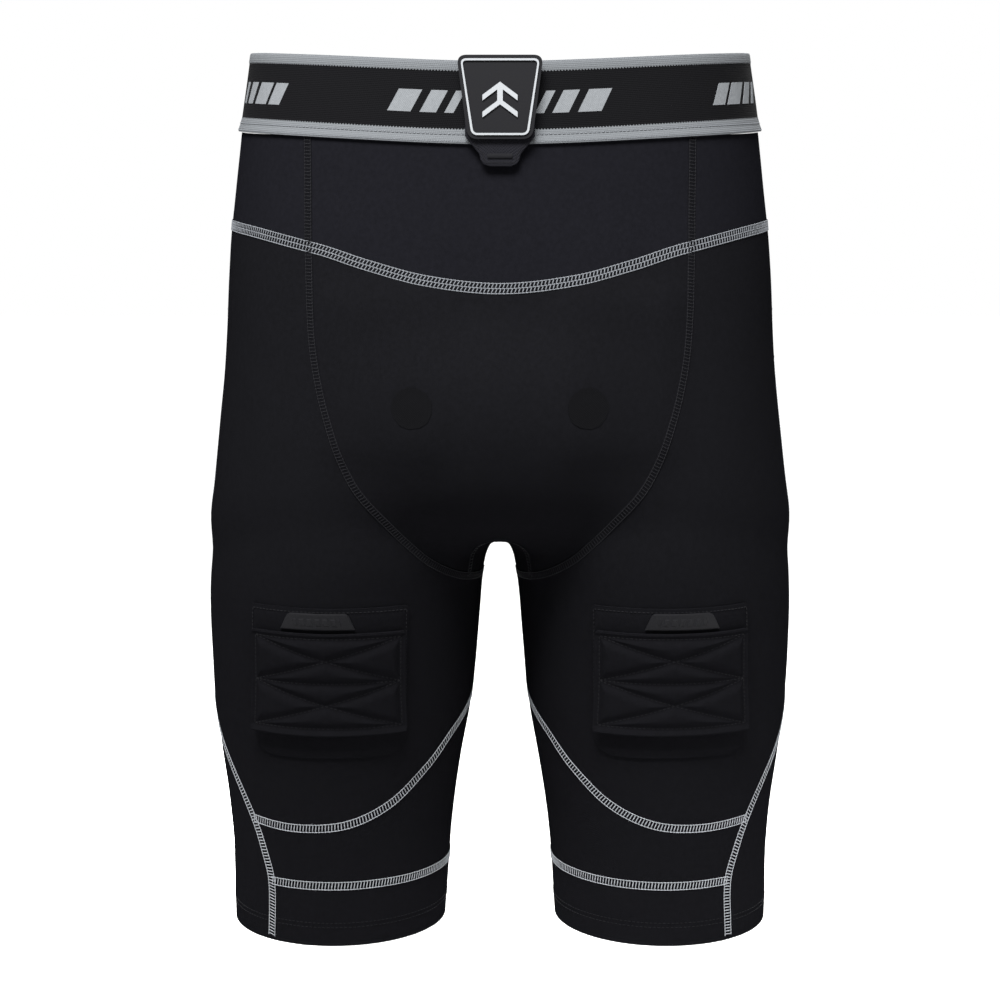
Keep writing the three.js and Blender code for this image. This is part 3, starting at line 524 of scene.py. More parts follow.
def inner_band(high, low, rows):
    """A band round the leg's inner side, from one edge of the side gusset to the other."""
    start = gusset_angle(high(0))
    t = shares(rows)[:, None]
    s = shares(2 * LEG_COLUMNS)[None]
    end = gusset_angle(lerp(high(0), low, t))
    inward = 1 - np.abs(2 * s - 1)
    angle = lerp(end, 180, inward)
    z = lerp(high(lerp(start, 180, inward)), low, t)
    return on_leg(np.where(s < 0.5, angle, 360 - angle), z)


def side_gusset():
    below = lerp(KNEE_SIDE, 0, shares(7 * DETAIL)[1:])
    heights = np.concatenate([DIAGONAL_HEIGHTS, below])
    half = gusset_angle(heights)
    half[0] = half[1] / 2
    heights[0] = (heights[0] + heights[1]) / 2
    return on_leg(lerp(half[:, None], -half[:, None], shares(10 * DETAIL)[None]), heights[:, None])


def across_from(edges, lift, columns):
    """Rows of points from a U seam's mirror image to the seam, arched over or under their ends."""
    x = lerp(-edges[:, None, 0], edges[:, None, 0], shares(columns)[None])
    arch = 1 - (x / edges[:, None, 0]) ** 2
    y = edges[:, None, 1] * (1 + 0.16 * arch)
    z = edges[:, None, 2] + np.broadcast_to(lift, (len(edges),))[:, None] * arch
    grid = onto(stacked(x, y, z))
    grid[:, -1] = edges
    grid[:, 0] = edges * (-1, 1, 1)
    return grid


GUSSET_ARCH = 12
centre_lift = through([(0, -18), (0.35, -14), (0.6, -8), (0.85, 4), (1, GUSSET_ARCH)])


def centre_panel(u, face, columns):
    last = U_STEPS - GUSSET_STEPS
    grid = across_from(u[: last + 1], centre_lift(shares(last)), columns)
    angle = torso_angle(u[0])
    at = lerp(-angle, angle if face < 0 else angle - 360, shares(columns))
    grid[0] = on_torso(at, yoke_seam(at))
    return grid


def crotch_gusset():
    low = FRONT_U[U_STEPS - GUSSET_STEPS :]
    back = BACK_U[U_STEPS - GUSSET_STEPS : U_STEPS][::-1]
    return across_from(np.vstack([low, back]), GUSSET_ARCH, 10 * DETAIL)


def yoke_panel(angles, columns, rows):
    """A panel between the band and the yoke seam, and between two angles that depend on the height."""
    t = shares(rows)[:, None]
    s = shares(columns)[None]
    z = lerp(band_bottom(0), YOKE_FRONT, t) + 0 * s
    for _ in range(4):
        first, last = angles(z)
        angle = lerp(first, last, s)
        z = lerp(band_bottom(angle), yoke_seam(angle), t)
    return on_torso(angle, z)


def yoke_side():
    front = yoke_panel(lambda z: (seam_angle(z, -1), 90), LEG_COLUMNS, 4 * DETAIL)
    back = yoke_panel(lambda z: (90, seam_angle(z, 1)), LEG_COLUMNS, 4 * DETAIL)
    return np.hstack([front, back[:, 1:]])


# ---------------------------------------------------------------- meshes


def mesh_object(name, points, faces, uv=None, material=None, crease=50):
    """An object from points in millimetres and an array of faces that all have as many corners."""
    mesh = bpy.data.meshes.new(name)
    corners = faces.shape[1]
    mesh.vertices.add(len(points))
    mesh.vertices.foreach_set("co", (np.asarray(points) * MM).astype(np.float32).ravel())
    mesh.loops.add(faces.size)
    mesh.loops.foreach_set("vertex_index", faces.astype(np.int32).ravel())
    mesh.polygons.add(len(faces))
    mesh.polygons.foreach_set("loop_start", np.arange(0, faces.size, corners, dtype=np.int32))
    if uv is not None:
        layer = mesh.uv_layers.new(name="millimetres")
        layer.data.foreach_set("uv", np.asarray(uv, np.float32).ravel())
    mesh.update(calc_edges=True)
    mesh.validate()
    mesh.polygons.foreach_set("use_smooth", np.ones(len(mesh.polygons), bool))
    mesh.set_sharp_from_angle(angle=math.radians(crease))
    if material:
        mesh.materials.append(material)
    obj = bpy.data.objects.new(name, mesh)
    bpy.context.collection.objects.link(obj)
    return obj


def closed_sheet(front, back, ring=False):
    """Points, quads and per-corner grid places of the closed sheet between two grids."""
    rows, cols = front.shape[:2]
    points = np.vstack([front.reshape(-1, 3), back.reshape(-1, 3)])
    last = cols if ring else cols - 1
    r, c = np.meshgrid(np.arange(rows - 1), np.arange(last), indexing="ij")
    places = []

    def quad(*corners):
        """Corners are (side, row, column) arrays."""
        places.append(np.stack([np.stack(np.broadcast_arrays(*k), -1).reshape(-1, 3) for k in corners], 1))

    quad((0, r, c), (0, r, c + 1), (0, r + 1, c + 1), (0, r + 1, c))
    quad((1, r, c), (1, r + 1, c), (1, r + 1, c + 1), (1, r, c + 1))
    edge = np.arange(last)
    end = rows - 1
    quad((0, 0, edge), (1, 0, edge), (1, 0, edge + 1), (0, 0, edge + 1))
    quad((0, end, edge), (0, end, edge + 1), (1, end, edge + 1), (1, end, edge))
    if not ring:
        edge = np.arange(rows - 1)
        end = cols - 1
        quad((0, edge, 0), (0, edge + 1, 0), (1, edge + 1, 0), (1, edge, 0))
        quad((0, edge, end), (1, edge, end), (1, edge + 1, end), (0, edge + 1, end))
    places = np.vstack(places)
    faces = places[..., 0] * rows * cols + places[..., 1] * cols + places[..., 2] % cols
    a, b, c, d = (points[faces[:, k]] for k in range(4))
    volume = (a * np.cross(b, c)).sum() + (a * np.cross(c, d)).sum()
    if volume < 0:
        faces, places = faces[:, ::-1], places[:, ::-1]
    return points, faces, places


def grid_places(grid, ring=False):
    """How far across and down each grid point is, in millimetres, from the middle column and top row."""
    closed = np.hstack([grid, grid[:, :1]]) if ring else grid
    across = np.cumsum(np.linalg.norm(np.diff(closed, axis=1), axis=-1), axis=1)
    across = np.hstack([np.zeros((len(closed), 1)), across])
    across -= across[:, closed.shape[1] // 2, None]
    down = np.cumsum(np.linalg.norm(np.diff(closed, axis=0), axis=-1), axis=0)
    down = np.vstack([np.zeros((1, closed.shape[1])), down])
    return np.stack([across, down], -1)


def drawn_in(grid, ring):
    """A grid whose free edges are pulled in by half a seam gap."""
    out = grid.copy()

    def pull(edge, inner):
        way = inner - edge
        return SEAM_GAP / 2 * way / np.maximum(np.linalg.norm(way, axis=-1, keepdims=True), 1e-9)

    out[0] += pull(grid[0], grid[1])
    out[-1] += pull(grid[-1], grid[-2])
    if not ring:
        out[:, 0] += pull(grid[:, 0], grid[:, 1])
        out[:, -1] += pull(grid[:, -1], grid[:, -2])
    return out


STRETCH = 1.05  # how much longer the worn knit is than its cut, each way
FIRM = 1.0  # webbing, hook-and-loop tape and labels don't stretch


def declare_sheet(grid, ring=False, stretch=STRETCH):
    """Works out a sheet's cut, its worn size divided by its stretch, as a width, a length and an area, and
    does nothing more with them.
    """
    places = grid_places(grid, ring)
    width = np.ptp(places[..., 0], axis=1).max() / stretch
    length = np.ptp(places[..., 1], axis=0).max() / stretch
    closed = np.hstack([grid, grid[:, :1]]) if ring else grid
    a, b, c, d = closed[:-1, :-1], closed[:-1, 1:], closed[1:, 1:], closed[1:, :-1]
    area = np.linalg.norm(np.cross(c - a, d - b), axis=-1).sum() / 2 / stretch**2
    area = float(min(area, width * length))


def finish_piece(obj, body, node=None):
    """Puts a made piece on its body, in place of its CAD node."""
    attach(obj, body)
    if node:
        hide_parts(*([node] if isinstance(node, str) else node))
    return obj


def cloth(
    node,
    grid,
    material,
    slot,
    lift=-FABRIC,
    thickness=FABRIC,
    ring=False,
    swell=0,
    body="shorts",
    stretch=STRETCH,
    declare=True,
):
    """A fine closed sheet on the body in place of a CAD node's solid. swell is added to its outer face."""
    base = drawn_in(grid, ring)
    base[..., 2] = np.where(grid[..., 2] < 1e-6, 0, base[..., 2])
    outer = raised(base, lift + thickness + swell)
    inner = raised(base, lift + np.minimum(swell, 0) + 0 * base[..., 0])
    points, faces, places = closed_sheet(outer, inner, ring)
    uv = grid_places(grid, ring)[places[..., 1], places[..., 2]]
    obj = mesh_object(node + "_cloth", points, faces, uv, material)
    finish_piece(obj, body, node)
    if declare:
        declare_sheet(grid, ring, stretch)
    return obj


def plate(name, base, high, low, material, slot, uv=None, ring=False, crease=50):
    """A thin piece between two lifts from a grid of surface points. uv holds the grid's places."""
    points, faces, places = closed_sheet(raised(base, high), raised(base, low), ring)
    if uv is not None:
        uv = uv[places[..., 1], places[..., 2] % base.shape[1]]
    obj = mesh_object(name, points, faces, uv, material, crease)
    return finish_piece(obj, "shorts", None)


# ---------------------------------------------------------------- stitches

STITCH_SIDES = 6
STITCH_RINGS = ((-1, 0), (-0.72, 0.72), (0, 1), (0.72, 0.72), (1, 0))


def stitch_template():
    """One stitch along X, of half length 1 and radius 1, as points and triangles."""
    points = []
    rings = []
    for at, radius in STITCH_RINGS:
        if radius == 0:
            rings.append([len(points)])
            points.append((at, 0, 0))
            continue
        rings.append(list(range(len(points), len(points) + STITCH_SIDES)))
        for k in range(STITCH_SIDES):
            turn = 2 * math.pi * k / STITCH_SIDES
            points.append((at, radius * math.cos(turn), radius * math.sin(turn)))
    faces = []
    for a, b in zip(rings, rings[1:]):
        for k in range(STITCH_SIDES):
            n = (k + 1) % STITCH_SIDES
            if len(a) == 1:
                faces.append((a[0], b[n], b[k]))
            elif len(b) == 1:
                faces.append((a[k], a[n], b[0]))
            else:
                faces.append((a[k], a[n], b[n]))
                faces.append((a[k], b[n], b[k]))
    return np.array(points), np.array(faces)


TEMPLATE_POINTS, TEMPLATE_FACES = stitch_template()


def unit(v):
    return v / np.maximum(np.linalg.norm(v, axis=-1, keepdims=True), 1e-9)


def stitches(centres, along, normals, length, radius):
    """Points of one stitch at each centre, lying along the given ways, as an array for stitch_piece."""
    x = unit(along)
    z = unit(normals - (normals * x).sum(-1, keepdims=True) * x)
    y = np.cross(z, x)
    p = TEMPLATE_POINTS * (length / 2, radius, radius * 0.8)
    px, py, pz = (p[None, :, k, None] for k in range(3))
    return centres[:, None] + (px * x[:, None] + py * y[:, None] + pz * z[:, None])


def stitch_piece(name, groups, material, body="shorts"):
    """One object of many stitches."""
    points = np.vstack([g.reshape(-1, 3) for g in groups])
    count = len(points) // len(TEMPLATE_POINTS)
    faces = (TEMPLATE_FACES[None] + len(TEMPLATE_POINTS) * np.arange(count)[:, None, None]).reshape(-1, 3)
    obj = mesh_object(name, points, faces, None, material, crease=180)
    return finish_piece(obj, body, None)


def frames_along(line, pitch, lift):
    """Evenly spaced places on a line: centre, way along, normal and way across.

    A fourth number in the line's points is a lift of their own.
    """
    count = max(2, round(lengths_along(line[:, :3])[-1] / pitch))
    fine = evenly(line, 2 * count)
    places = fine[1::2]
    along = unit(fine[2::2, :3] - fine[:-1:2, :3])
    own = places[:, 3] if places.shape[1] > 3 else 0
    base = onto(places[:, :3])
    normals = outward(base)
    centres = base + normals * (lift + own + ripple(base))[:, None]
    return centres, along, normals, unit(np.cross(normals, along))


def running_stitch(line, pitch, length, radius, lift=0.0):
    centres, along, normals, _ = frames_along(line, pitch, lift)
    return stitches(centres, along, normals, length, radius)


BEAD_OVERLAP = 1.16
RUNG_OVERLAP = 1.02


def flatlock(line, width, rows, pitch, slant, radius=0.4, lift=0.3):
    """Beaded edges with rungs between them: one row of rungs, or two side by side."""
    centres, along, normals, across = frames_along(line, pitch, lift)
    edges = np.linspace(-width / 2, width / 2, rows + 1)
    groups = [stitches(centres + across * e, along, normals, pitch * BEAD_OVERLAP, radius) for e in edges]
    room = width / rows
    rung = math.hypot(room, slant) * RUNG_OVERLAP
    for middle in (edges[:-1] + edges[1:]) / 2:
        way = across * room + along * slant
        groups.append(stitches(centres + across * middle, way, normals, rung, radius))
    return groups


TAPE_SECTION = ((-1, 0.1), (-0.94, 0.42), (-0.6, 0.55), (0, 0.6), (0.6, 0.55), (0.94, 0.42), (1, 0.1))


TAPE_STEP = 4
TAPE_DEPTH = 0.15


def tape(name, line, width, rise=0.45):
    """The low ridge of overlapped cloth under a flat seam."""
    count = max(4, round(lengths_along(line)[-1] / TAPE_STEP))
    centres, _, normals, across = frames_along(line, lengths_along(line)[-1] / count, 0)
    place = np.array([(side * width / 2, up * rise) for side, up in TAPE_SECTION])
    top = centres[:, None] + across[:, None] * place[None, :, :1] + normals[:, None] * place[None, :, 1:]
    low = centres[:, None] + across[:, None] * place[None, :, :1] - normals[:, None] * TAPE_DEPTH
    points, faces, _ = closed_sheet(top, low)
    finish_piece(mesh_object(name, points, faces, None, DARK_TAPE), "shorts", None)


# ---------------------------------------------------------------- materials


def linear(value):
    """A colour written as 0xrrggbb, as linear red, green, blue and alpha."""
    parts = [((value >> shift) & 255) / 255 for shift in (16, 8, 0)]
    return tuple(c / 12.92 if c <= 0.04045 else ((c + 0.055) / 1.055) ** 2.4 for c in parts) + (1.0,)


class Shader:
    """A material with a Principled shader, and short ways to add nodes to it."""

    def __init__(self, name, colour, roughness, **inputs):
        self.material = bpy.data.materials.new(name)
        self.material.use_nodes = True
        self.nodes = self.material.node_tree.nodes
        self.links = self.material.node_tree.links
        self.main = self.nodes["Principled BSDF"]
        self.main.inputs["Base Color"].default_value = linear(colour)
        self.main.inputs["Roughness"].default_value = roughness
        for key, value in inputs.items():
            self.main.inputs[key.replace("_", " ")].default_value = value

    def join(self, source, target):
        self.links.new(source, target)

    def math(self, operation, a, b=None):
        node = self.nodes.new("ShaderNodeMath")
        node.operation = operation
        for socket, value in zip(node.inputs, (a, b)):
            if isinstance(value, (int, float)):
                socket.default_value = value
            elif value is not None:
                self.join(value, socket)
        return node.outputs[0]

    def places(self):
        """The sheet's own millimetres: across and down."""
        uv = self.nodes.new("ShaderNodeUVMap")
        uv.uv_map = "millimetres"
        split = self.nodes.new("ShaderNodeSeparateXYZ")
        self.join(uv.outputs[0], split.inputs[0])
        return split.outputs[0], split.outputs[1]

    def noise(self, scale, detail=3.0):
        """Noise in object space, scale being its features to a metre."""
        where = self.nodes.new("ShaderNodeTexCoord")
        node = self.nodes.new("ShaderNodeTexNoise")
        node.inputs["Scale"].default_value = scale
        node.inputs["Detail"].default_value = detail
        self.join(where.outputs["Object"], node.inputs["Vector"])
        return node.outputs["Fac"]

    def wave(self, value, pitch):
        return self.math("SINE", self.math("MULTIPLY", value, 2 * math.pi / pitch))

    def bump(self, height, strength, distance):
        node = self.nodes.new("ShaderNodeBump")
        node.inputs["Strength"].default_value = strength
        node.inputs["Distance"].default_value = distance
        self.join(height, node.inputs["Height"])
        self.join(node.outputs[0], self.main.inputs["Normal"])

    def shade(self, factor, dark, light):
        """Base colour between two colours by a factor from 0 to 1."""
        mix = self.nodes.new("ShaderNodeMix")
        mix.data_type = "RGBA"
        colours = [s for s in mix.inputs if s.type == "RGBA"]
        colours[0].default_value = linear(dark)
        colours[1].default_value = linear(light)
        self.join(factor, mix.inputs[0])
        self.join([s for s in mix.outputs if s.type == "RGBA"][0], self.main.inputs["Base Color"])


def knit(name, dark, light, pitch=0.75, depth=0.00014):
    """Fine jersey: rows of loops, mottled very slightly."""
    s = Shader(name, dark, 0.9, Specular_IOR_Level=0.0)
    u, v = s.places()
    loops = s.math("MULTIPLY", s.wave(u, pitch), s.wave(v, pitch * 0.8))
    rough = s.math("ADD", s.math("MULTIPLY", loops, 0.6), s.noise(900))
    s.bump(rough, 0.5, depth)
    s.shade(s.noise(420, 6.0), dark, light)
    return s.material


def band_weave(name, grey, dark):
    """Elastic with two grey stripes, by the height on the band. The stripes' inner edges are toothed."""
    s = Shader(name, dark, 0.85, Specular_IOR_Level=0.02)
    u, v = s.places()
    half = BAND_TOOTH / 2
    tooth = s.math("MULTIPLY", s.math("PINGPONG", u, half), BAND_TOOTH_HEIGHT / half)
    top = s.math("LESS_THAN", s.math("ADD", v, tooth), TOP_STRIPE + BAND_TOOTH_HEIGHT)
    low_edge = BAND_HEIGHT - LOW_STRIPE - BAND_TOOTH_HEIGHT
    low = s.math("GREATER_THAN", s.math("SUBTRACT", v, tooth), low_edge)
    stripe = s.math("MAXIMUM", top, low)
    ribs = s.math("ABSOLUTE", s.wave(u, BAND_RIB * 2))
    courses = s.math("MULTIPLY", s.wave(v, 1.0), 0.35)
    s.bump(s.math("ADD", s.math("ADD", ribs, courses), s.noise(700)), 0.6, 0.00022)
    lit = s.math("MULTIPLY", stripe, s.math("ADD", s.math("MULTIPLY", s.noise(1500, 4.0), 0.3), 0.82))
    s.shade(lit, dark, grey)
    return s.material


def rubber(name, colour, roughness=0.5, grain=1400):
    s = Shader(name, colour, roughness, Specular_IOR_Level=0.07)
    s.bump(s.noise(grain, 2.0), 0.25, 0.00008)
    return s.material


def thread(name, colour):
    s = Shader(name, colour, 0.75, Specular_IOR_Level=0.05)
    s.bump(s.noise(2600, 2.0), 0.4, 0.0001)
    return s.material


def webbing(name, colour, pitch=1.6):
    s = Shader(name, colour, 0.85, Specular_IOR_Level=0.03)
    u, v = s.places()
    weave = s.math("MAXIMUM", s.wave(s.math("ADD", u, v), pitch), s.wave(s.math("SUBTRACT", u, v), pitch))
    s.bump(weave, 0.6, 0.0002)
    return s.material


def hook_tape(name, colour):
    s = Shader(name, colour, 0.6, Specular_IOR_Level=0.15)
    u, v = s.places()
    s.bump(s.math("MULTIPLY", s.wave(u, 1.7), s.wave(v, 1.7)), 0.9, 0.0006)
    return s.material


def loop_pile(name, colour):
    s = Shader(name, colour, 0.95, Sheen_Weight=0.03, Specular_IOR_Level=0.03)
    s.bump(s.noise(1700, 5.0), 0.9, 0.0007)
    return s.material


def open_mesh(name, dark, light):
    """Warp-knit mesh: small holes in a staggered pattern, with painted shade: the holes are drawn dark for
    the shade seen through them.
    """
    s = Shader(name, dark, 0.9, Specular_IOR_Level=0.03)
    u, v = s.places()
    holes = s.math("MULTIPLY", s.wave(s.math("ADD", u, v), 2.6), s.wave(s.math("SUBTRACT", u, v), 2.6))
    hole = s.math("GREATER_THAN", s.math("ABSOLUTE", holes), 0.45)
    s.bump(s.math("SUBTRACT", 1.0, hole), 0.8, 0.0004)
    # Painted shade in the holes: they get the dark colour.
    s.shade(hole, light, dark)
    return s.material


# ---------------------------------------------------------------- the cloth of the shorts

TOP_STRIPE = 5.5
LOW_STRIPE = 7.5
BAND_TOOTH = 1.7
BAND_TOOTH_HEIGHT = 0.7
BAND_RIB = 1.1

BODY_BLACK = knit("body_knit", 0x070708, 0x0B0B0D)
YOKE_BLACK = knit("yoke_knit", 0x08080A, 0x0D0D10)
TAB_BLACK = knit("tab_knit", 0x070708, 0x0B0B0D, pitch=1.1, depth=0.0002)
MESH_BLACK = open_mesh("pocket_mesh", 0x050506, 0x232326)
BAND_CLOTH = band_weave("band_elastic", 0x454749, 0x070708)
GREY_THREAD = thread("grey_thread", 0x66686B)
# Painted shade: the grey thread made darker for the yoke and band seams, where the key light falls stronger
# than on the legs.
SHADED_GREY_THREAD = thread("shaded_grey_thread", 0x4A4C4F)
BLACK_THREAD = thread("black_thread", 0x0C0C0E)
DARK_TAPE = knit("seam_tape", 0x060607, 0x09090B)
RUBBER = rubber("badge_rubber", 0x08080A, 0.55)
LABEL_RUBBER = rubber("label_rubber", 0x0A0A0C, 0.6)
SILVER = Shader("silver_print", 0x66686A, 0.45, Specular_IOR_Level=0.2).material
STRAP_WEB = webbing("strap_webbing", 0x0E0E11)
HOOKS = hook_tape("hook_tape", 0x0E0E10)
LOOPS = loop_pile("loop_tape", 0x0E0E10)
SHELL_PLASTIC = rubber("guard_plastic", 0x2C2E32, 0.38, 500)
FOAM = loop_pile("guard_cushion", 0x202124)
LABEL_WHITE = webbing("label_cloth", 0x8A8C8E, 0.9)
# Darker than the body knit; its holes are painted shade from the guard's vents behind.
VENT_MESH = open_mesh("vent_mesh", 0x020203, 0x060607)
MARK_CLOTH = knit("band_mark", 0x4A4C4E, 0x56585A, pitch=1.2, depth=0.0002)

VENT_SINK = 0.6


def vent_dimples(grid):
    """The cloth sinks a little into the guard's two vents."""
    sink = np.zeros(grid.shape[:2])
    for side in (-1, 1):
        away = np.hypot(grid[..., 0] - side * VENT_HALF_SPAN, grid[..., 2] - CUP_BOTTOM - VENT_RISE)
        sink -= VENT_SINK * smoothstep(VENT_RADIUS + 4 - away, 0, 9)
    return sink


def leg_pieces(name, grid, material=BODY_BLACK, slot="body_knit", **how):
    for side, placed in both_sides(grid):
        cloth(f"{name}_{side}", placed, material, slot, **how)


def body_panels():
    pouch = centre_panel(FRONT_U, -1, FRONT_COLUMNS)
    cloth("pouch_panel", pouch, BODY_BLACK, "body_knit", swell=vent_dimples(pouch))
    cloth("seat_panel", centre_panel(BACK_U, 1, BACK_COLUMNS), BODY_BLACK, "body_knit")
    cloth("crotch_gusset", crotch_gusset(), BODY_BLACK, "body_knit")
    front = yoke_panel(lambda z: (-seam_angle(z, -1), seam_angle(z, -1)), FRONT_COLUMNS, 5 * DETAIL)
    cloth("yoke_front", front, YOKE_BLACK, "yoke_knit")
    back = yoke_panel(lambda z: (seam_angle(z, 1), 360 - seam_angle(z, 1)), BACK_COLUMNS, 4 * DETAIL)
    cloth("yoke_back", back, YOKE_BLACK, "yoke_knit")
    leg_pieces("yoke_side", yoke_side(), YOKE_BLACK, "yoke_knit")
    leg_pieces("thigh_front", leg_panel(False))
    leg_pieces("thigh_back", leg_panel(True))
    leg_pieces("side_gusset", side_gusset())
    leg_pieces("knee_panel", inner_band(knee_seam, CUFF_SEAM, 5 * DETAIL))
    leg_pieces("cuff_panel", inner_band(lambda _: CUFF_SEAM, 0, 3 * DETAIL))
    around = shares(32 * DETAIL)[:-1] * 360
    fold = on_leg(around[None], lerp(HEM_FOLD, 0, shares(3))[:, None])
    lift = -FABRIC - HEM_FOLD_GAP - HEM_FOLD_THICKNESS
    leg_pieces("hem_fold", fold, lift=lift, thickness=HEM_FOLD_THICKNESS, ring=True)


def band_grid(rows, columns):
    """Surface points round the waist, from the band's top edge to its lower one."""
    angle = shares(columns)[:-1] * 360
    return on_torso(angle[None], lerp(band_top(angle), band_bottom(angle), shares(rows)[:, None]))


def band_swell(rows, columns):
    """The band's stripes are a little thicker than its middle, and its lower edge flares."""
    down = shares(rows) * BAND_HEIGHT
    top = 0.35 * smoothstep(TOP_STRIPE + 0.8 - down, 0, 1.2) - 0.5 * smoothstep(1.0 - down, 0, 1)
    low = 0.45 * smoothstep(down - (BAND_HEIGHT - LOW_STRIPE), -0.8, 0.8)
    flare = 1.1 * smoothstep(down, BAND_HEIGHT - 6, BAND_HEIGHT)
    turned = 0.4 * smoothstep(down, BAND_HEIGHT - 0.8, BAND_HEIGHT)
    return np.repeat((top + low + (flare - turned))[:, None], columns, 1)


def waistband():
    rows, columns = 36, 110 * DETAIL
    cloth(
        "waistband",
        band_grid(rows, columns),
        BAND_CLOTH,
        "band_elastic",
        lift=BAND_PROUD - BAND_THICKNESS,
        thickness=BAND_THICKNESS,
        ring=True,
        swell=band_swell(rows, columns),
    )


def band_line(down):
    """A closed line round the band, at a distance below its top edge."""
    angle = np.linspace(0, 360, 721)
    return on_torso(angle, band_top(angle) - down)


def band_stitches():
    rows = ((5.1, 2.4, 2.0, 0.3, 0.75), (3.1, 2.4, 2.0, 0.3, 0.75), (1.2, 1.5, 1.3, 0.36, 1.3))
    grey = [
        running_stitch(band_line(BAND_HEIGHT - up), pitch, length, radius, BAND_PROUD + lift)
        for up, pitch, length, radius, lift in rows
    ]
    stitch_piece("band_stitches", grey, SHADED_GREY_THREAD)
    line = band_line(0.5)
    centres, _, normals, across = frames_along(line, 1.5, BAND_PROUD - 0.55)
    picots = [stitches(centres, normals, across, 1.7, 0.45)]
    stitch_piece("band_picots", picots, SHADED_GREY_THREAD)


# ---------------------------------------------------------------- seams

LIGHT_SEAM = {"width": 4.6, "rows": 1, "pitch": 1.9, "slant": 0.8, "radius": 0.34}
YOKE_SEAM = {"width": 5.6, "rows": 2, "pitch": 2.1, "radius": 0.36}
DARK_SEAM = {"width": 3.8, "rows": 1, "pitch": 1.9, "slant": 0.5, "radius": 0.34, "lift": 0.35}


def leg_line(angles, heights):
    return on_leg(np.asarray(angles, float), np.asarray(heights, float))


def light_leg_seams():
    """The grey seams: side seam, gusset edges, upper leg seam and cuff seam."""
    side_z = np.linspace(YOKE_SIDE, APEX_HEIGHT, 140)
    low_z = np.linspace(APEX_HEIGHT - 1, 2.5, 120)
    turn = gusset_angle(low_z)
    around = np.linspace(gusset_angle(KNEE_SIDE), 360 - gusset_angle(KNEE_SIDE), 260)
    inward = 180 - np.abs(around - 180)
    cuff = np.linspace(gusset_angle(CUFF_SEAM), 360 - gusset_angle(CUFF_SEAM), 260)
    return {
        "side": leg_line(0 * side_z, side_z),
        "gusset_front": leg_line(turn, low_z),
        "gusset_back": leg_line(360 - turn, low_z),
        "knee": leg_line(around, knee_seam(inward)),
        "cuff": leg_line(cuff, CUFF_SEAM + 0 * cuff),
    }


def dark_seams():
    """The black seams: front and back verticals of the yoke, the two U seams, the inseams and the gusset."""
    lines = []
    for face, u in ((-1, FRONT_U), (1, BACK_U)):
        low, high = u[0, 2], float(band_bottom(seam_angle(460.0, face))) + 1
        lines.append(facing(FRONT_SEAM_HALF, np.linspace(high, low, 60), face))
        lines.append(u)
    z = np.linspace(GUSSET_LEVEL, KNEE_INNER, 60)
    lines.append(leg_line(180 + 0 * z, z))
    return lines


def light_seam(kind, place, line, seam, material):
    tape(f"{kind}_seam_tape_{place}", line, seam["width"] + 1.2)
    stitch_piece(f"{kind}_seam_{place}", flatlock(line, **seam), material)


def dark_seam(kind, place, line):
    tape(f"{kind}_seam_tape_{place}", line, DARK_SEAM["width"] + 1.4, rise=0.6)
    stitch_piece(f"{kind}_seam_{place}", flatlock(line, **DARK_SEAM), BLACK_THREAD)


def seams():
    for name, line in light_leg_seams().items():
        for side, placed in both_sides(line):
            light_seam(name, side, placed, LIGHT_SEAM, GREY_THREAD)
    yoke_seams()
    for i, line in enumerate(dark_seams()):
        for side, placed in both_sides(line):
            dark_seam("dark", f"{i}_{side}", placed)
    for name, u in (("front", FRONT_U), ("back", BACK_U)):
        edge = u[U_STEPS - GUSSET_STEPS][None]
        dark_seam("gusset", name, across_from(edge, GUSSET_ARCH, 60)[0])


def yoke_seams():
    """The grey seam between yoke and legs, in four lengths that meet at the front and back verticals."""
    front = float(seam_angle(float(FRONT_U[0, 2]), -1))
    back = float(seam_angle(float(BACK_U[0, 2]), 1))
    spans = {
        "front": (-front, front, 1.35),
        "left": (front, back, 0.5),
        "back": (back, 360 - back, 1.35),
        "right": (-back, -front, 0.5),
    }
    for name, (first, last, slant) in spans.items():
        angle = np.linspace(first, last, 260)
        line = on_torso(angle, yoke_seam(angle))
        light_seam("yoke", name, line, {**YOKE_SEAM, "slant": slant}, SHADED_GREY_THREAD)


HEM_STITCH_HEIGHTS = (11.5, 14.2)


def hem_stitches():
    angle = np.linspace(0, 360, 361)
    groups = []
    for z in HEM_STITCH_HEIGHTS:
        for _, line in both_sides(leg_line(angle, z + 0 * angle)):
            groups.append(running_stitch(line, 2.6, 2.0, 0.26, 0.12))
    stitch_piece("hem_stitches", groups, BLACK_THREAD)


# ---------------------------------------------------------------- sock tabs


def on_tab(face, turn, u, z):
    """The left leg's surface at u round the leg from a turn and at a height, on the front or the back."""
    z = np.asarray(z, float)
    axis = stacked(leg_axis(z), 0, z)
    radius = np.linalg.norm(on_leg(turn + 0 * z, z) - axis, axis=-1)
    angle = turn - np.degrees(u / radius)
    return on_leg(angle if face < 0 else 360 - angle, z)


def rounded_patch(width_high, width_low, height, top_round, low_round, columns, rows):
    """Places across and down a patch with round corners, as two grids in millimetres."""
    t = shares(rows)
    t = t - 0.1 * np.sin(2 * np.pi * t) / 1.3
    down = t * height
    half = lerp(width_high, width_low, t) / 2

    def cut(away, radius):
        d = np.clip(radius - away, 0, radius)
        return radius - np.sqrt(np.maximum(radius**2 - d**2, 0))

    half = half - cut(down, top_round) - cut(height - down, low_round)
    u = half[:, None] * np.linspace(-1, 1, columns + 1)[None]
    return u, down[:, None] + 0 * u


def away_from_line(u, v, a, b):
    """Distance of places from the straight line between two places."""
    a, b = np.asarray(a, float), np.asarray(b, float)
    way = b - a
    t = np.clip(((u - a[0]) * way[0] + (v - a[1]) * way[1]) / (way @ way), 0, 1)
    return np.hypot(u - a[0] - t * way[0], v - a[1] - t * way[1])


QUILT_INSET = 3.2
QUILT_PUFF = 2.0
FREE_EDGE_LIFT = 1.8  # how far the flap's lower edge stands off


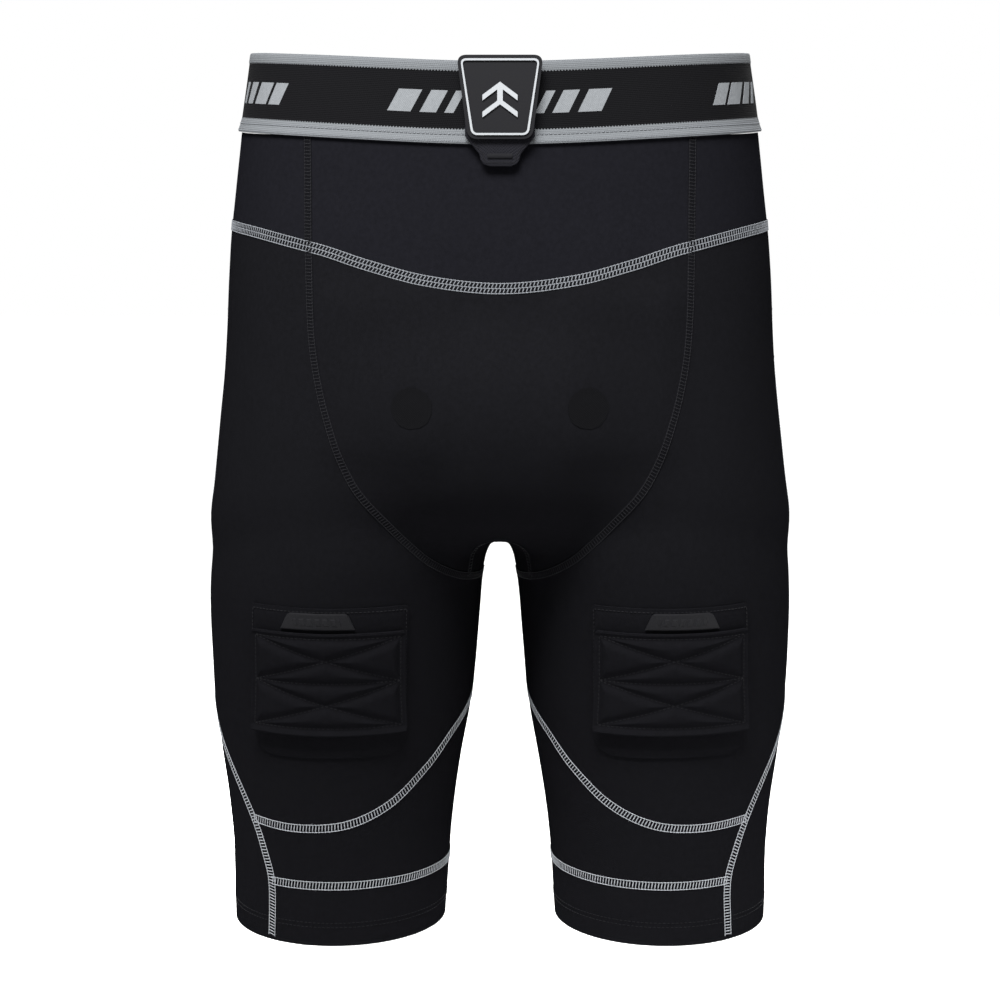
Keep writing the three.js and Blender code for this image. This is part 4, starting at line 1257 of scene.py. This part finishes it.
def quilt_lines():
    """The flap's stitch lines across and down: border, two crosses and the line between them."""
    x = FLAP[0] / 2 - QUILT_INSET
    top, low = QUILT_INSET, FLAP[1] - QUILT_INSET - 1.5
    mid = (top + low) / 2
    border = [((-x, top), (x, top)), ((-x, low), (x, low)), ((-x, top), (-x, low)), ((x, top), (x, low))]
    crosses = [((-x, top), (x, mid)), ((x, top), (-x, mid)), ((-x, mid), (x, low)), ((x, mid), (-x, low))]
    return border + crosses + [((-x, mid), (x, mid))]


def flap_lift(u, v):
    """Height of the flap's outer face over its inner one's rest, thick between its stitches."""
    near = np.min([away_from_line(u, v, a, b) for a, b in quilt_lines()], axis=0)
    puff = QUILT_PUFF * (1 - np.exp(-((near / 3.0) ** 2)))
    edge = np.minimum(FLAP[0] / 2 - np.abs(u), np.minimum(v, FLAP[1] - v))
    return FLAP[2] - 1.1 + puff - 0.7 * smoothstep(1.2 - edge, 0, 1.2)


def free_edge(v):
    return FREE_EDGE_LIFT * smoothstep(v, FLAP[1] * 0.45, FLAP[1])


def sock_tab(face, flip):
    """One sock tab: base patch, hook strip, quilted flap and label, with their stitches."""
    where = f"{'front' if face < 0 else 'back'}_{'right' if flip else 'left'}"
    name, body = "sock_tab_" + where, "sock_flap_" + where

    def placed(grid):
        return mirrored(grid) if flip else grid

    def patch(turn, high, u, v):
        return placed(on_tab(face, turn, u, high - v))

    columns, rows = 24 * DETAIL, 20 * DETAIL
    u, v = rounded_patch(TAB_BASE[0], TAB_BASE[0] - 3, TAB_BASE[1], 2, 15, columns, rows)
    edge = np.minimum(TAB_BASE[0] / 2 - np.abs(u), np.minimum(v, TAB_BASE[1] - v))
    soft = 0.5 * smoothstep(edge, 0, 6) - 0.2
    base = patch(TAB_TURN, TAB_HIGH, u, v)
    cloth(name + "_base", base, TAB_BLACK, "tab_fabric", LAYER_GAP, TAB_BASE[2], swell=soft, stretch=FIRM)

    def tab_line(ends, high, lift_at, count=60):
        (u0, v0), (u1, v1) = ends
        t = np.linspace(0, 1, count)
        lu, lv = lerp(u0, u1, t), lerp(v0, v1, t)
        points = patch(TAB_TURN, high, lu, lv)
        return np.column_stack([points, lift_at(lu, lv)])

    x, top, low = TAB_BASE[0] / 2 - 2.2, 2.2, TAB_BASE[1] - 16
    sides = [((-x, top), (x, top)), ((-x, top), (-x, low)), ((x, top), (x, low))]
    base_lift = LAYER_GAP + TAB_BASE[2] + 0.25
    lines = [tab_line(s, TAB_HIGH, lambda a, b: base_lift + 0 * a) for s in sides]
    groups = [running_stitch(line, 2.4, 1.8, 0.34) for line in lines]
    stitch_piece(name + "_base_stitches", groups, BLACK_THREAD)

    width, height = FLAP[0] - 2 * HOOK_MARGIN, FLAP[1] - 2 * HOOK_MARGIN
    hu, hv = rounded_patch(width, width, height, 1, 1, columns, rows)
    hook = patch(TAB_TURN, FLAP_HIGH - HOOK_MARGIN, hu, hv)
    cloth(
        name + "_hook_strip",
        hook,
        HOOKS,
        "hook_tape",
        lift=HOOK_LIFT + free_edge(hv + HOOK_MARGIN),
        thickness=HOOK_THICKNESS,
        body=body,
        stretch=FIRM,
    )

    fu, fv = rounded_patch(FLAP[0], FLAP[0], FLAP[1], 2.5, 4, 2 * columns, 2 * rows)
    flap = patch(TAB_TURN, FLAP_HIGH, fu, fv)
    outer = flap_lift(fu, fv)
    quilt = cloth(
        name + "_flap",
        flap,
        TAB_BLACK,
        "tab_fabric",
        lift=FLAP_LIFT + free_edge(fv),
        thickness=outer,
        body=body,
        declare=False,
    )

    def quilt_lift(a, b):
        return FLAP_LIFT + free_edge(b) + flap_lift(a, b) + 0.05

    lines = [tab_line(s, FLAP_HIGH, quilt_lift, 90) for s in quilt_lines()]
    groups = [running_stitch(line, 2.5, 1.8, 0.3) for line in lines]
    stitch_piece(name + "_flap_stitches", groups, BLACK_THREAD, body=body)
    label(name, face, placed)


def label(name, face, placed):
    """The rubber label over the flap, with a row of plain raised marks."""
    high = FLAP_HIGH + FLAP_SWING + LABEL_HEIGHT
    u, v = rounded_patch(LABEL_HIGH, LABEL_LOW, LABEL_HEIGHT, 2.2, 0.6, 40 * DETAIL, 10 * DETAIL)
    lean = u + 0.35 * (v - LABEL_HEIGHT / 2)
    mark = (np.abs((lean + 60) % 4.4 - 2.2) < 1.35) & (np.abs(v - LABEL_HEIGHT * 0.52) < 1.7)
    mark &= np.abs(lean) < LABEL_HIGH / 2 - 4
    half = lerp(LABEL_HIGH, LABEL_LOW, v / LABEL_HEIGHT) / 2
    edge = np.minimum(half - np.abs(u), np.minimum(v, LABEL_HEIGHT - v))
    press = 0.35 * mark - 0.3 * smoothstep(0.9 - edge, 0, 0.9)
    grid = placed(on_tab(face, LABEL_TURN, u, high - v))
    cloth(
        name + "_label",
        grid,
        LABEL_RUBBER,
        "label_rubber",
        lift=HOOK_LIFT + LABEL_CLEAR,
        thickness=LABEL_THICKNESS - LABEL_CLEAR + press,
        declare=False,
    )


# ---------------------------------------------------------------- guard and pocket

LEAN_BACK = math.tan(math.radians(CUP_LEAN))


def rim_y(z):
    return -CUP_RIM_DEPTH + (z - CUP_BOTTOM - CUP_HEIGHT / 2) * LEAN_BACK


cup_share = through(
    [
        (0, 0.21),
        (0.05, 0.4),
        (0.19, 0.67),
        (0.364, 0.85),
        (0.573, 0.96),
        (0.783, 1),
        (0.909, 0.975),
        (0.972, 0.89),
        (1, 0.75),
    ]
)
CUP_WIDEST = 0.783


def ease_edges(obj, width, segments, degrees):
    """Rounds the edges that are sharper than an angle."""
    ease = obj.modifiers.new("eased", "BEVEL")
    ease.width = width * MM
    ease.segments = segments
    ease.limit_method = "ANGLE"
    ease.angle_limit = math.radians(degrees)


def cup_face(inset):
    """One face of the guard's bowl, inset from its outer face."""
    s = np.sin(np.linspace(-np.pi / 2, np.pi / 2, 28 * DETAIL + 1))
    t = (1 - np.cos(np.linspace(0, np.pi, 22 * DETAIL + 1))) / 2
    z = lerp(CUP_BOTTOM + inset, CUP_TOP - inset, t)[:, None]
    half = cup_share(t)[:, None] * CUP_HALF - inset
    x = s[None] * half
    bulge = np.sqrt(np.maximum(1 - np.abs(s[None]) ** 6, 0))
    bulge = bulge * np.sqrt(np.maximum(1 - np.abs(2 * t[:, None] - 1) ** 8, 0))
    front = facing(x, z)[..., 1] + FABRIC + CUP_CLEARANCE + inset
    return stacked(x, lerp(rim_y(z), front, bulge), z)


def cup_shell():
    points, faces, _ = closed_sheet(cup_face(0), cup_face(CUP_WALL))
    obj = mesh_object("cup_shell_moulding", points, faces, None, SHELL_PLASTIC, crease=60)
    cutters = []
    for side in (-1, 1):
        place = (side * VENT_HALF_SPAN * MM, -0.1, (CUP_BOTTOM + VENT_RISE) * MM)
        bpy.ops.mesh.primitive_cylinder_add(
            vertices=64, radius=VENT_RADIUS * MM, depth=0.12, location=place, rotation=(math.pi / 2, 0, 0)
        )
        cutter = bpy.context.object
        hole = obj.modifiers.new("vent", "BOOLEAN")
        hole.operation = "DIFFERENCE"
        hole.solver = "EXACT"
        hole.object = cutter
        cutters.append(cutter)
    made = bpy.data.meshes.new_from_object(obj.evaluated_get(bpy.context.evaluated_depsgraph_get()))
    obj.modifiers.clear()
    obj.data = made
    for cutter in cutters:
        bpy.data.objects.remove(cutter)
    ease_edges(obj, 0.7, 3, 60)
    finish_piece(obj, "cup", "cup_shell")


CUSHION_SIDES = 16
CUSHION_SMOOTHING = 6


def cup_cushion():
    """A foam roll round the guard's rim."""
    t = (1 - np.cos(np.linspace(0, np.pi, 60))) / 2
    half = np.maximum(cup_share(t) * CUP_HALF - CUSHION_WIDTH / 2, CUSHION_WIDTH)
    z = lerp(CUP_BOTTOM + CUSHION_WIDTH / 2, CUP_TOP - CUSHION_WIDTH / 2, t)
    side = np.column_stack([half, z])
    flat_top = np.column_stack([np.linspace(half[-1], -half[-1], 30), np.full(30, z[-1])])
    flat_low = np.column_stack([np.linspace(-half[0], half[0], 12), np.full(12, z[0])])
    loop = np.vstack([side, flat_top[1:-1], (side * (-1, 1))[::-1], flat_low[1:-1]])
    loop = evenly(np.vstack([loop, loop[:1]]), 90 * DETAIL)[:-1]
    for _ in range(CUSHION_SMOOTHING):
        loop = (np.roll(loop, 1, 0) + 2 * loop + np.roll(loop, -1, 0)) / 4
    ahead = unit(np.roll(loop, -1, 0) - np.roll(loop, 1, 0))
    aside = np.column_stack([ahead[:, 1], -ahead[:, 0]])
    sides = CUSHION_SIDES
    turn = 2 * np.pi * np.arange(sides + 1) / sides
    deep = np.sign(np.sin(turn)) * np.abs(np.sin(turn)) ** 0.75 * (CUSHION_THICKNESS / 2 - 0.1)
    wide = np.sign(np.cos(turn)) * np.abs(np.cos(turn)) ** 0.75 * (CUSHION_WIDTH / 2 - 0.2)
    x = loop[None, :, 0] + aside[None, :, 0] * wide[:-1, None]
    z = loop[None, :, 1] + aside[None, :, 1] * wide[:-1, None]
    y = rim_y(z) + LAYER_GAP + CUSHION_THICKNESS / 2 + deep[:-1, None]
    points = stacked(x, y, z).reshape(-1, 3)
    count = len(loop)
    r, c = np.meshgrid(np.arange(sides), np.arange(count), indexing="ij")
    n, m = (r + 1) % sides, (c + 1) % count
    faces = np.stack([r * count + c, r * count + m, n * count + m, n * count + c], -1).reshape(-1, 4)
    obj = mesh_object("cup_edge_cushion_roll", points, faces, None, FOAM, crease=180)
    finish_piece(obj, "cup", "cup_edge_cushion")


def pocket_liner():
    """The mesh back wall and floor of the pocket: a trough that meets the front panels at its edges."""
    floor = CUP_BOTTOM - POCKET_ROOM - LINER_THICKNESS - 1
    up = np.concatenate([[0], lerp(0.02, 0.8, shares(10 * DETAIL)), lerp(0.8, 1.1, shares(3 * DETAIL))[1:]])
    heights = np.minimum(floor + up * CUP_HEIGHT, CUP_TOP + LINER_ABOVE)
    heights = np.concatenate([[floor - 0.01], heights])
    line = FRONT_U[FRONT_U[:, 1] < -20]
    seam_x = np.interp(np.minimum(heights, YOKE_FRONT), line[::-1, 2], line[::-1, 0])

    def face(inset):
        share = (heights - CUP_BOTTOM) / CUP_HEIGHT + 0.05
        wide = cup_share(np.minimum(share, CUP_WIDEST)) * CUP_HALF + POCKET_ROOM
        edge = np.maximum(seam_x - LINER_MARGIN, wide + 1)
        corner = wide - inset * 0.6
        back = rim_y(heights) + LAYER_GAP + CUSHION_THICKNESS + POCKET_ROOM - inset
        outer = edge - inset * 0.6
        wall = [outer, lerp(edge, corner, 0.6)]
        x = np.stack([*wall, corner, corner * 0.8, corner / 2, corner * 0.25, 0 * corner], -1)
        front = facing(x, heights[:, None])[..., 1] + FABRIC + LINER_SEAM
        y = np.stack([front[:, 0], lerp(front[:, 0], back, 0.5), back, back, back, back, back], -1)
        y[0] = front[0]
        z = heights[:, None] + np.where(np.arange(len(heights)) < 2, inset, 0)[:, None] + 0 * x
        half = stacked(x, y, z)
        return np.hstack([half, (half[:, :-1] * (-1, 1, 1))[:, ::-1]])

    near, far = face(LINER_THICKNESS), face(0)
    points, faces, places = closed_sheet(near, far)
    uv = grid_places(far)[places[..., 1], places[..., 2]]
    obj = mesh_object("pocket_liner_mesh", points, faces, uv, MESH_BLACK, crease=35)
    finish_piece(obj, "shorts", "pocket_liner")
    declare_sheet(far)


VENT_SIDES = 96


def vent_cloth():
    """The open mesh over each vent, darker than the panel round it: its holes are painted dark for the shade
    seen through them into the guard's vent.
    """
    for name, side in (("left", 1), ("right", -1)):
        radius = np.linspace(0.15, VENT_RADIUS - 0.2, 16)[:, None]
        turn = 2 * np.pi * np.arange(VENT_SIDES)[None] / VENT_SIDES
        wobble = 1 + 0.015 * np.sin(5 * turn + side) + 0.012 * np.sin(13 * turn + 2 * side)
        x = side * VENT_HALF_SPAN + radius * wobble * np.cos(turn)
        z = CUP_BOTTOM + VENT_RISE + radius * wobble * np.sin(turn)
        base = facing(x, z)
        lift, uv = vent_dimples(base), np.stack([x, z], -1)
        how = {"uv": uv, "ring": True, "crease": 60}
        plate(f"vent_mesh_{name}", base, lift + 0.3, lift - 0.3, VENT_MESH, "pocket_mesh", **how)


# ---------------------------------------------------------------- marks on the band

MARK_HIGH = 16.5  # below the band's top edge
MARK_LOW = 28.5
MARK_SLANT = 3.2
MARKS = (  # middle of each bar round the waist, and its width
    (-52, 13),
    (-36, 9),
    (-24.5, 5),
    (24.5, 5),
    (36, 9),
    (52, 13),
)
SIDE_MARKS = ((132, 10), (146, 13), (161, 9), (174, 6))


def band_marks():
    """Slanted grey bars woven into the band, where a maker would put a name."""
    line = band_line(22.5)
    along = lengths_along(line)
    angles = np.linspace(0, 360, 721)

    def bar(name, middle, width):
        t = shares(8)[:, None]
        s = np.linspace(-0.5, 0.5, 11)[None]
        where = middle + s * width + lerp(MARK_SLANT, -MARK_SLANT, t)
        angle = np.interp(where % along[-1], along, angles)
        grid = on_torso(angle, band_top(angle) - lerp(MARK_HIGH, MARK_LOW, t))
        high, low = BAND_PROUD + 0.22, BAND_PROUD - 0.5
        plate(name, grid, high, low, MARK_CLOTH, "band_elastic", grid_places(grid))

    for i, (middle, width) in enumerate(MARKS):
        bar(f"band_mark_front_{i}", middle, width)
    for i, (middle, width) in enumerate(SIDE_MARKS):
        bar(f"band_mark_left_{i}", middle, width)
        bar(f"band_mark_right_{i}", -middle, width)


# ---------------------------------------------------------------- closure tab

BADGE_CREASE = 35


def bevelled(node, material, width, segments):
    """A CAD node that stays, with eased edges and its own material."""
    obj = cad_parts[node]
    obj.data.materials.clear()
    obj.data.materials.append(material)
    ease_edges(obj, width, segments, BADGE_CREASE)
    obj.data.polygons.foreach_set("use_smooth", np.ones(len(obj.data.polygons), bool))
    obj.data.set_sharp_from_angle(angle=math.radians(BADGE_CREASE))


STRAP_WIDTH = 38
STRAP_THICKNESS = 1.4
STRAP_TONGUE = 57
STRAP_SHOULDER = 41
STRAP_TIP_HALF = 9
ANCHOR_WIDTH = 34
ANCHOR_DROP = 22
ANCHOR_THICKNESS = 1
PATCH_WIDTH = 29
PATCH_TOP = 7
PATCH_BOTTOM = 38
PATCH_INSET = 1
TACK_WIDTH = 13
TACK_HEIGHT = 3
FOLD_TOP = 2
FOLD_THICKNESS = 1.2
FOLD_GAP = 0.2
HINGE_DEPTH = BAND_THICKNESS + LAYER_GAP + ANCHOR_THICKNESS / 2
HOOK_NEAR = 2 * LAYER_GAP + HOOK_THICKNESS
STRAP_NEAR = HOOK_NEAR + HOOK_THICKNESS + LAYER_GAP
BADGE_BELOW = 42.5
BADGE_NEAR = STRAP_NEAR + STRAP_THICKNESS + LAYER_GAP


def on_closure(points):
    """Points of the closure's own frame, where the band's outer face is y = 0 and its top edge z = 0."""
    top, low = facing(0, band_top(0)), facing(0, band_bottom(0))
    tilt = -math.atan2(top[1] - low[1], BAND_HEIGHT)
    x, y, z = points[..., 0], points[..., 1], points[..., 2]
    turned_y = y * math.cos(tilt) - z * math.sin(tilt)
    turned_z = y * math.sin(tilt) + z * math.cos(tilt)
    return stacked(x, top[1] - BAND_PROUD + turned_y, top[2] + turned_z)


THIN_EDGE = 0.6


def ribbon(name, node, body, path, half, thickness, material):
    """A strip of cloth on the closure: path is its middle as (y, z) places, half its half width at each."""
    along = np.gradient(path, axis=0)
    normal = unit(np.column_stack([along[:, 1], -along[:, 0]]))
    s = np.sin(np.linspace(-np.pi / 2, np.pi / 2, 12 * DETAIL + 1))
    x = np.asarray(half)[:, None] * s[None]
    thin = smoothstep(np.asarray(half)[:, None] * (1 - np.abs(s[None])), 0, THIN_EDGE)
    ends = smoothstep(np.minimum(lengths_along(path), lengths_along(path)[::-1]), 0, THIN_EDGE)
    depth = thickness / 2 * (0.45 + 0.55 * thin * ends[:, None])
    faces_of = []
    for side in (1, -1):
        y = path[:, None, 0] + side * normal[:, None, 0] * depth
        z = path[:, None, 1] + side * normal[:, None, 1] * depth
        faces_of.append(on_closure(stacked(x, y, z)))
    points, faces, places = closed_sheet(*faces_of)
    middle = (faces_of[0] + faces_of[1]) / 2
    uv = grid_places(middle)[places[..., 1], places[..., 2]]
    obj = mesh_object(name, points, faces, uv, material, crease=70)
    finish_piece(obj, body, node)
    declare_sheet(middle, stretch=FIRM)


def strap_path():
    """The strap's middle, from its tip up the front, over the band's top edge and back to the hinge."""
    front = -STRAP_NEAR - STRAP_THICKNESS / 2
    high = FOLD_TOP - FOLD_THICKNESS / 2
    turn = np.linspace(0, np.pi / 2, 8)
    bend = 1.6
    up = np.column_stack([np.full(50, front), np.linspace(-STRAP_TONGUE, high - bend, 50)])
    over = np.column_stack([front + bend * (1 - np.cos(turn)), high - bend * (1 - np.sin(turn))])
    back = np.column_stack([np.linspace(front + bend, HINGE_DEPTH - FOLD_GAP, 6), np.full(6, high)])
    return np.vstack([up, over[1:], back[1:]])


def strap_half(z):
    """Half the strap's width at a height: straight, then tapered to a blunt tip."""
    corner = -STRAP_TONGUE + STRAP_TIP_HALF * 0.7
    share = np.clip((z - corner) / (-STRAP_SHOULDER - corner), 0, 1)
    taper = lerp(STRAP_TIP_HALF + 2, STRAP_WIDTH / 2, share)
    tip = np.clip((z + STRAP_TONGUE) / (corner + STRAP_TONGUE), 0, 1)
    return np.where(z < corner, (STRAP_TIP_HALF + 2) * (0.55 + 0.45 * np.sqrt(tip * (2 - tip))), taper)


def closure():
    """The fold-over closure: soft strap, its patches and stitches, and the moulded badge."""
    bevelled("closure_badge", RUBBER, 0.8, 4)
    bevelled("closure_badge_rim", SILVER, 0.15, 2)
    bevelled("closure_badge_emblem", SILVER, 0.15, 2)
    path = strap_path()
    half = strap_half(path[:, 1])
    ribbon("closure_strap_web", "closure_strap", "closure", path, half, STRAP_THICKNESS, STRAP_WEB)
    near, far = -LAYER_GAP - HOOK_THICKNESS / 2, -HOOK_NEAR - HOOK_THICKNESS / 2

    def strip(name, node, body, span, y, width, thickness, material, slot):
        z = np.linspace(-span[0], -span[1], 8 * DETAIL)
        path = np.column_stack([y + 0 * z, z])
        ribbon(name, node, body, path, width / 2 + 0 * z, thickness, material)

    span = (PATCH_TOP, PATCH_BOTTOM)
    patch = (PATCH_WIDTH, HOOK_THICKNESS, LOOPS, "loop_tape")
    strip("loop_pile", "closure_loop_patch", "shorts", span, near, *patch)
    span = (PATCH_TOP + PATCH_INSET, PATCH_BOTTOM - PATCH_INSET)
    patch = (PATCH_WIDTH - 2 * PATCH_INSET, HOOK_THICKNESS, HOOKS, "hook_tape")
    strip("hook_tape_strip", "closure_hook_patch", "closure", span, far, *patch)
    span = (-FOLD_GAP, ANCHOR_DROP)
    patch = (ANCHOR_WIDTH, ANCHOR_THICKNESS, STRAP_WEB, "webbing")
    strip("anchor_web", "closure_anchor", "shorts", span, HINGE_DEPTH, *patch)
    strap_stitches()


def strap_stitches():
    """The stitched edge of the strap's tip, and the bar tack over it."""
    z = np.linspace(-BADGE_BELOW - 2, 2 - STRAP_TONGUE, 40)
    half = strap_half(z) - 2
    side = np.column_stack([half, 0 * z, z])
    line = np.vstack([side * (-1, 1, 1), side[::-1]])
    line[:, 1] = -STRAP_NEAR - STRAP_THICKNESS - 0.05
    line = evenly(on_closure(line), 80)
    ahead = unit(line[2::2] - line[:-1:2])
    out = on_closure(np.array([0.0, -1, 0])) - on_closure(np.zeros(3))
    edge = stitches(line[1::2], ahead, np.broadcast_to(out, ahead.shape), 1.3, 0.28)
    stitch_piece("strap_edge_stitches", [edge], BLACK_THREAD, body="closure")
    x = np.linspace(-TACK_WIDTH / 2, TACK_WIDTH / 2, 23)
    middle = 1 - STRAP_TONGUE + TACK_HEIGHT * 1.5
    places = on_closure(stacked(x, -BADGE_NEAR - 0.1, middle))
    up = on_closure(stacked(x, -BADGE_NEAR - 0.1, middle + 1)) - places
    bars = stitches(places, up, np.broadcast_to(out, places.shape), TACK_HEIGHT, 0.45)
    obj = stitch_piece("bar_tack_stitches", [bars], BLACK_THREAD, body="closure")
    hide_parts("closure_bar_tack")


LABEL_SIZE = 28
LABEL_CLOTH = 0.5
LABEL_ENDS = (WAIST_HEIGHT - BAND_HEIGHT + 6, WAIST_HEIGHT - 8)


def size_label():
    """The white care label sewn inside the band at the back, with plain lines for its print."""
    low, high = LABEL_ENDS
    x = np.linspace(-LABEL_SIZE / 2, LABEL_SIZE / 2, 10 * DETAIL + 1)
    grid = facing(x[None], np.linspace(high, low, 10 * DETAIL + 1)[:, None], 1)
    lift = BAND_PROUD - BAND_THICKNESS - LAYER_GAP - LABEL_CLOTH
    cloth("size_label", grid, LABEL_WHITE, "label_cloth", lift, LABEL_CLOTH, stretch=FIRM)
    for i, z in enumerate(np.linspace(high - 6, low + 8, 4)):
        row = facing(np.linspace(-8 + i, 8 - i, 12)[None], np.array([[z], [z - 0.9]]), 1)
        plate(f"label_line_{i}", row, lift + 0.05, lift - 0.08, BLACK_THREAD, "label_cloth")


# ---------------------------------------------------------------- the studio

FLOOR_COLOUR = 0xFAFAFA
FLOOR_GLOW = 0.2
WORLD_LIGHT = 1.0
CAMERA_PLACE = (0, -1.3, 0.449)
CAMERA_TARGET = (0, 0, 0.258)
CAMERA_LENS = 78
CAMERA_SENSOR = 36
FLOOR_SIZE = 12
FLOOR_DROP = 0.0005
LIGHT_SIZE = (1.1, 0.35)
LIGHTS = (  # name, place, target, watts, spread in degrees
    ("key", (-0.15, -0.65, 1.2), (0, -0.1, 0.45), 11, 46),
    ("back", (0.15, 0.75, 1.2), (0, 0.1, 0.42), 9, 60),
)


def aimed(name, data, place, target):
    """An object at a place, looking at a target."""
    obj = bpy.data.objects.new(name, data)
    obj.location = place
    obj.rotation_euler = (Vector(target) - Vector(place)).to_track_quat("-Z", "Y").to_euler()
    bpy.context.collection.objects.link(obj)
    return obj


def area_light(name, place, target, power, spread):
    data = bpy.data.lights.new(name, "AREA")
    data.shape = "RECTANGLE"
    data.size, data.size_y = LIGHT_SIZE
    data.energy = power
    data.spread = math.radians(spread)
    aimed(name, data, place, target)


def studio():
    bpy.ops.mesh.primitive_plane_add(size=FLOOR_SIZE, location=(0, 0, -FLOOR_DROP))
    floor = bpy.context.object
    floor.name = "floor"
    glow = {"Emission_Color": linear(FLOOR_COLOUR), "Emission_Strength": FLOOR_GLOW}
    floor.data.materials.append(Shader("floor", FLOOR_COLOUR, 0.6, Specular_IOR_Level=0.0, **glow).material)
    world = bpy.data.worlds.new("studio")
    world.use_nodes = True
    sky = world.node_tree.nodes["Background"]
    sky.inputs["Color"].default_value = (1, 1, 1, 1)
    sky.inputs["Strength"].default_value = WORLD_LIGHT
    bpy.context.scene.world = world
    for light in LIGHTS:
        area_light(*light)
    bpy.context.scene.view_settings.view_transform = "Standard"


def camera():
    data = bpy.data.cameras.new("camera")
    data.lens = CAMERA_LENS
    data.sensor_width = CAMERA_SENSOR
    bpy.context.scene.camera = aimed("camera", data, CAMERA_PLACE, CAMERA_TARGET)


body_panels()
waistband()
band_stitches()
band_marks()
seams()
hem_stitches()
for tab_face in (-1, 1):
    for tab_flip in (False, True):
        sock_tab(tab_face, tab_flip)
vent_cloth()
cup_shell()
cup_cushion()
pocket_liner()
closure()
size_label()
studio()
camera()
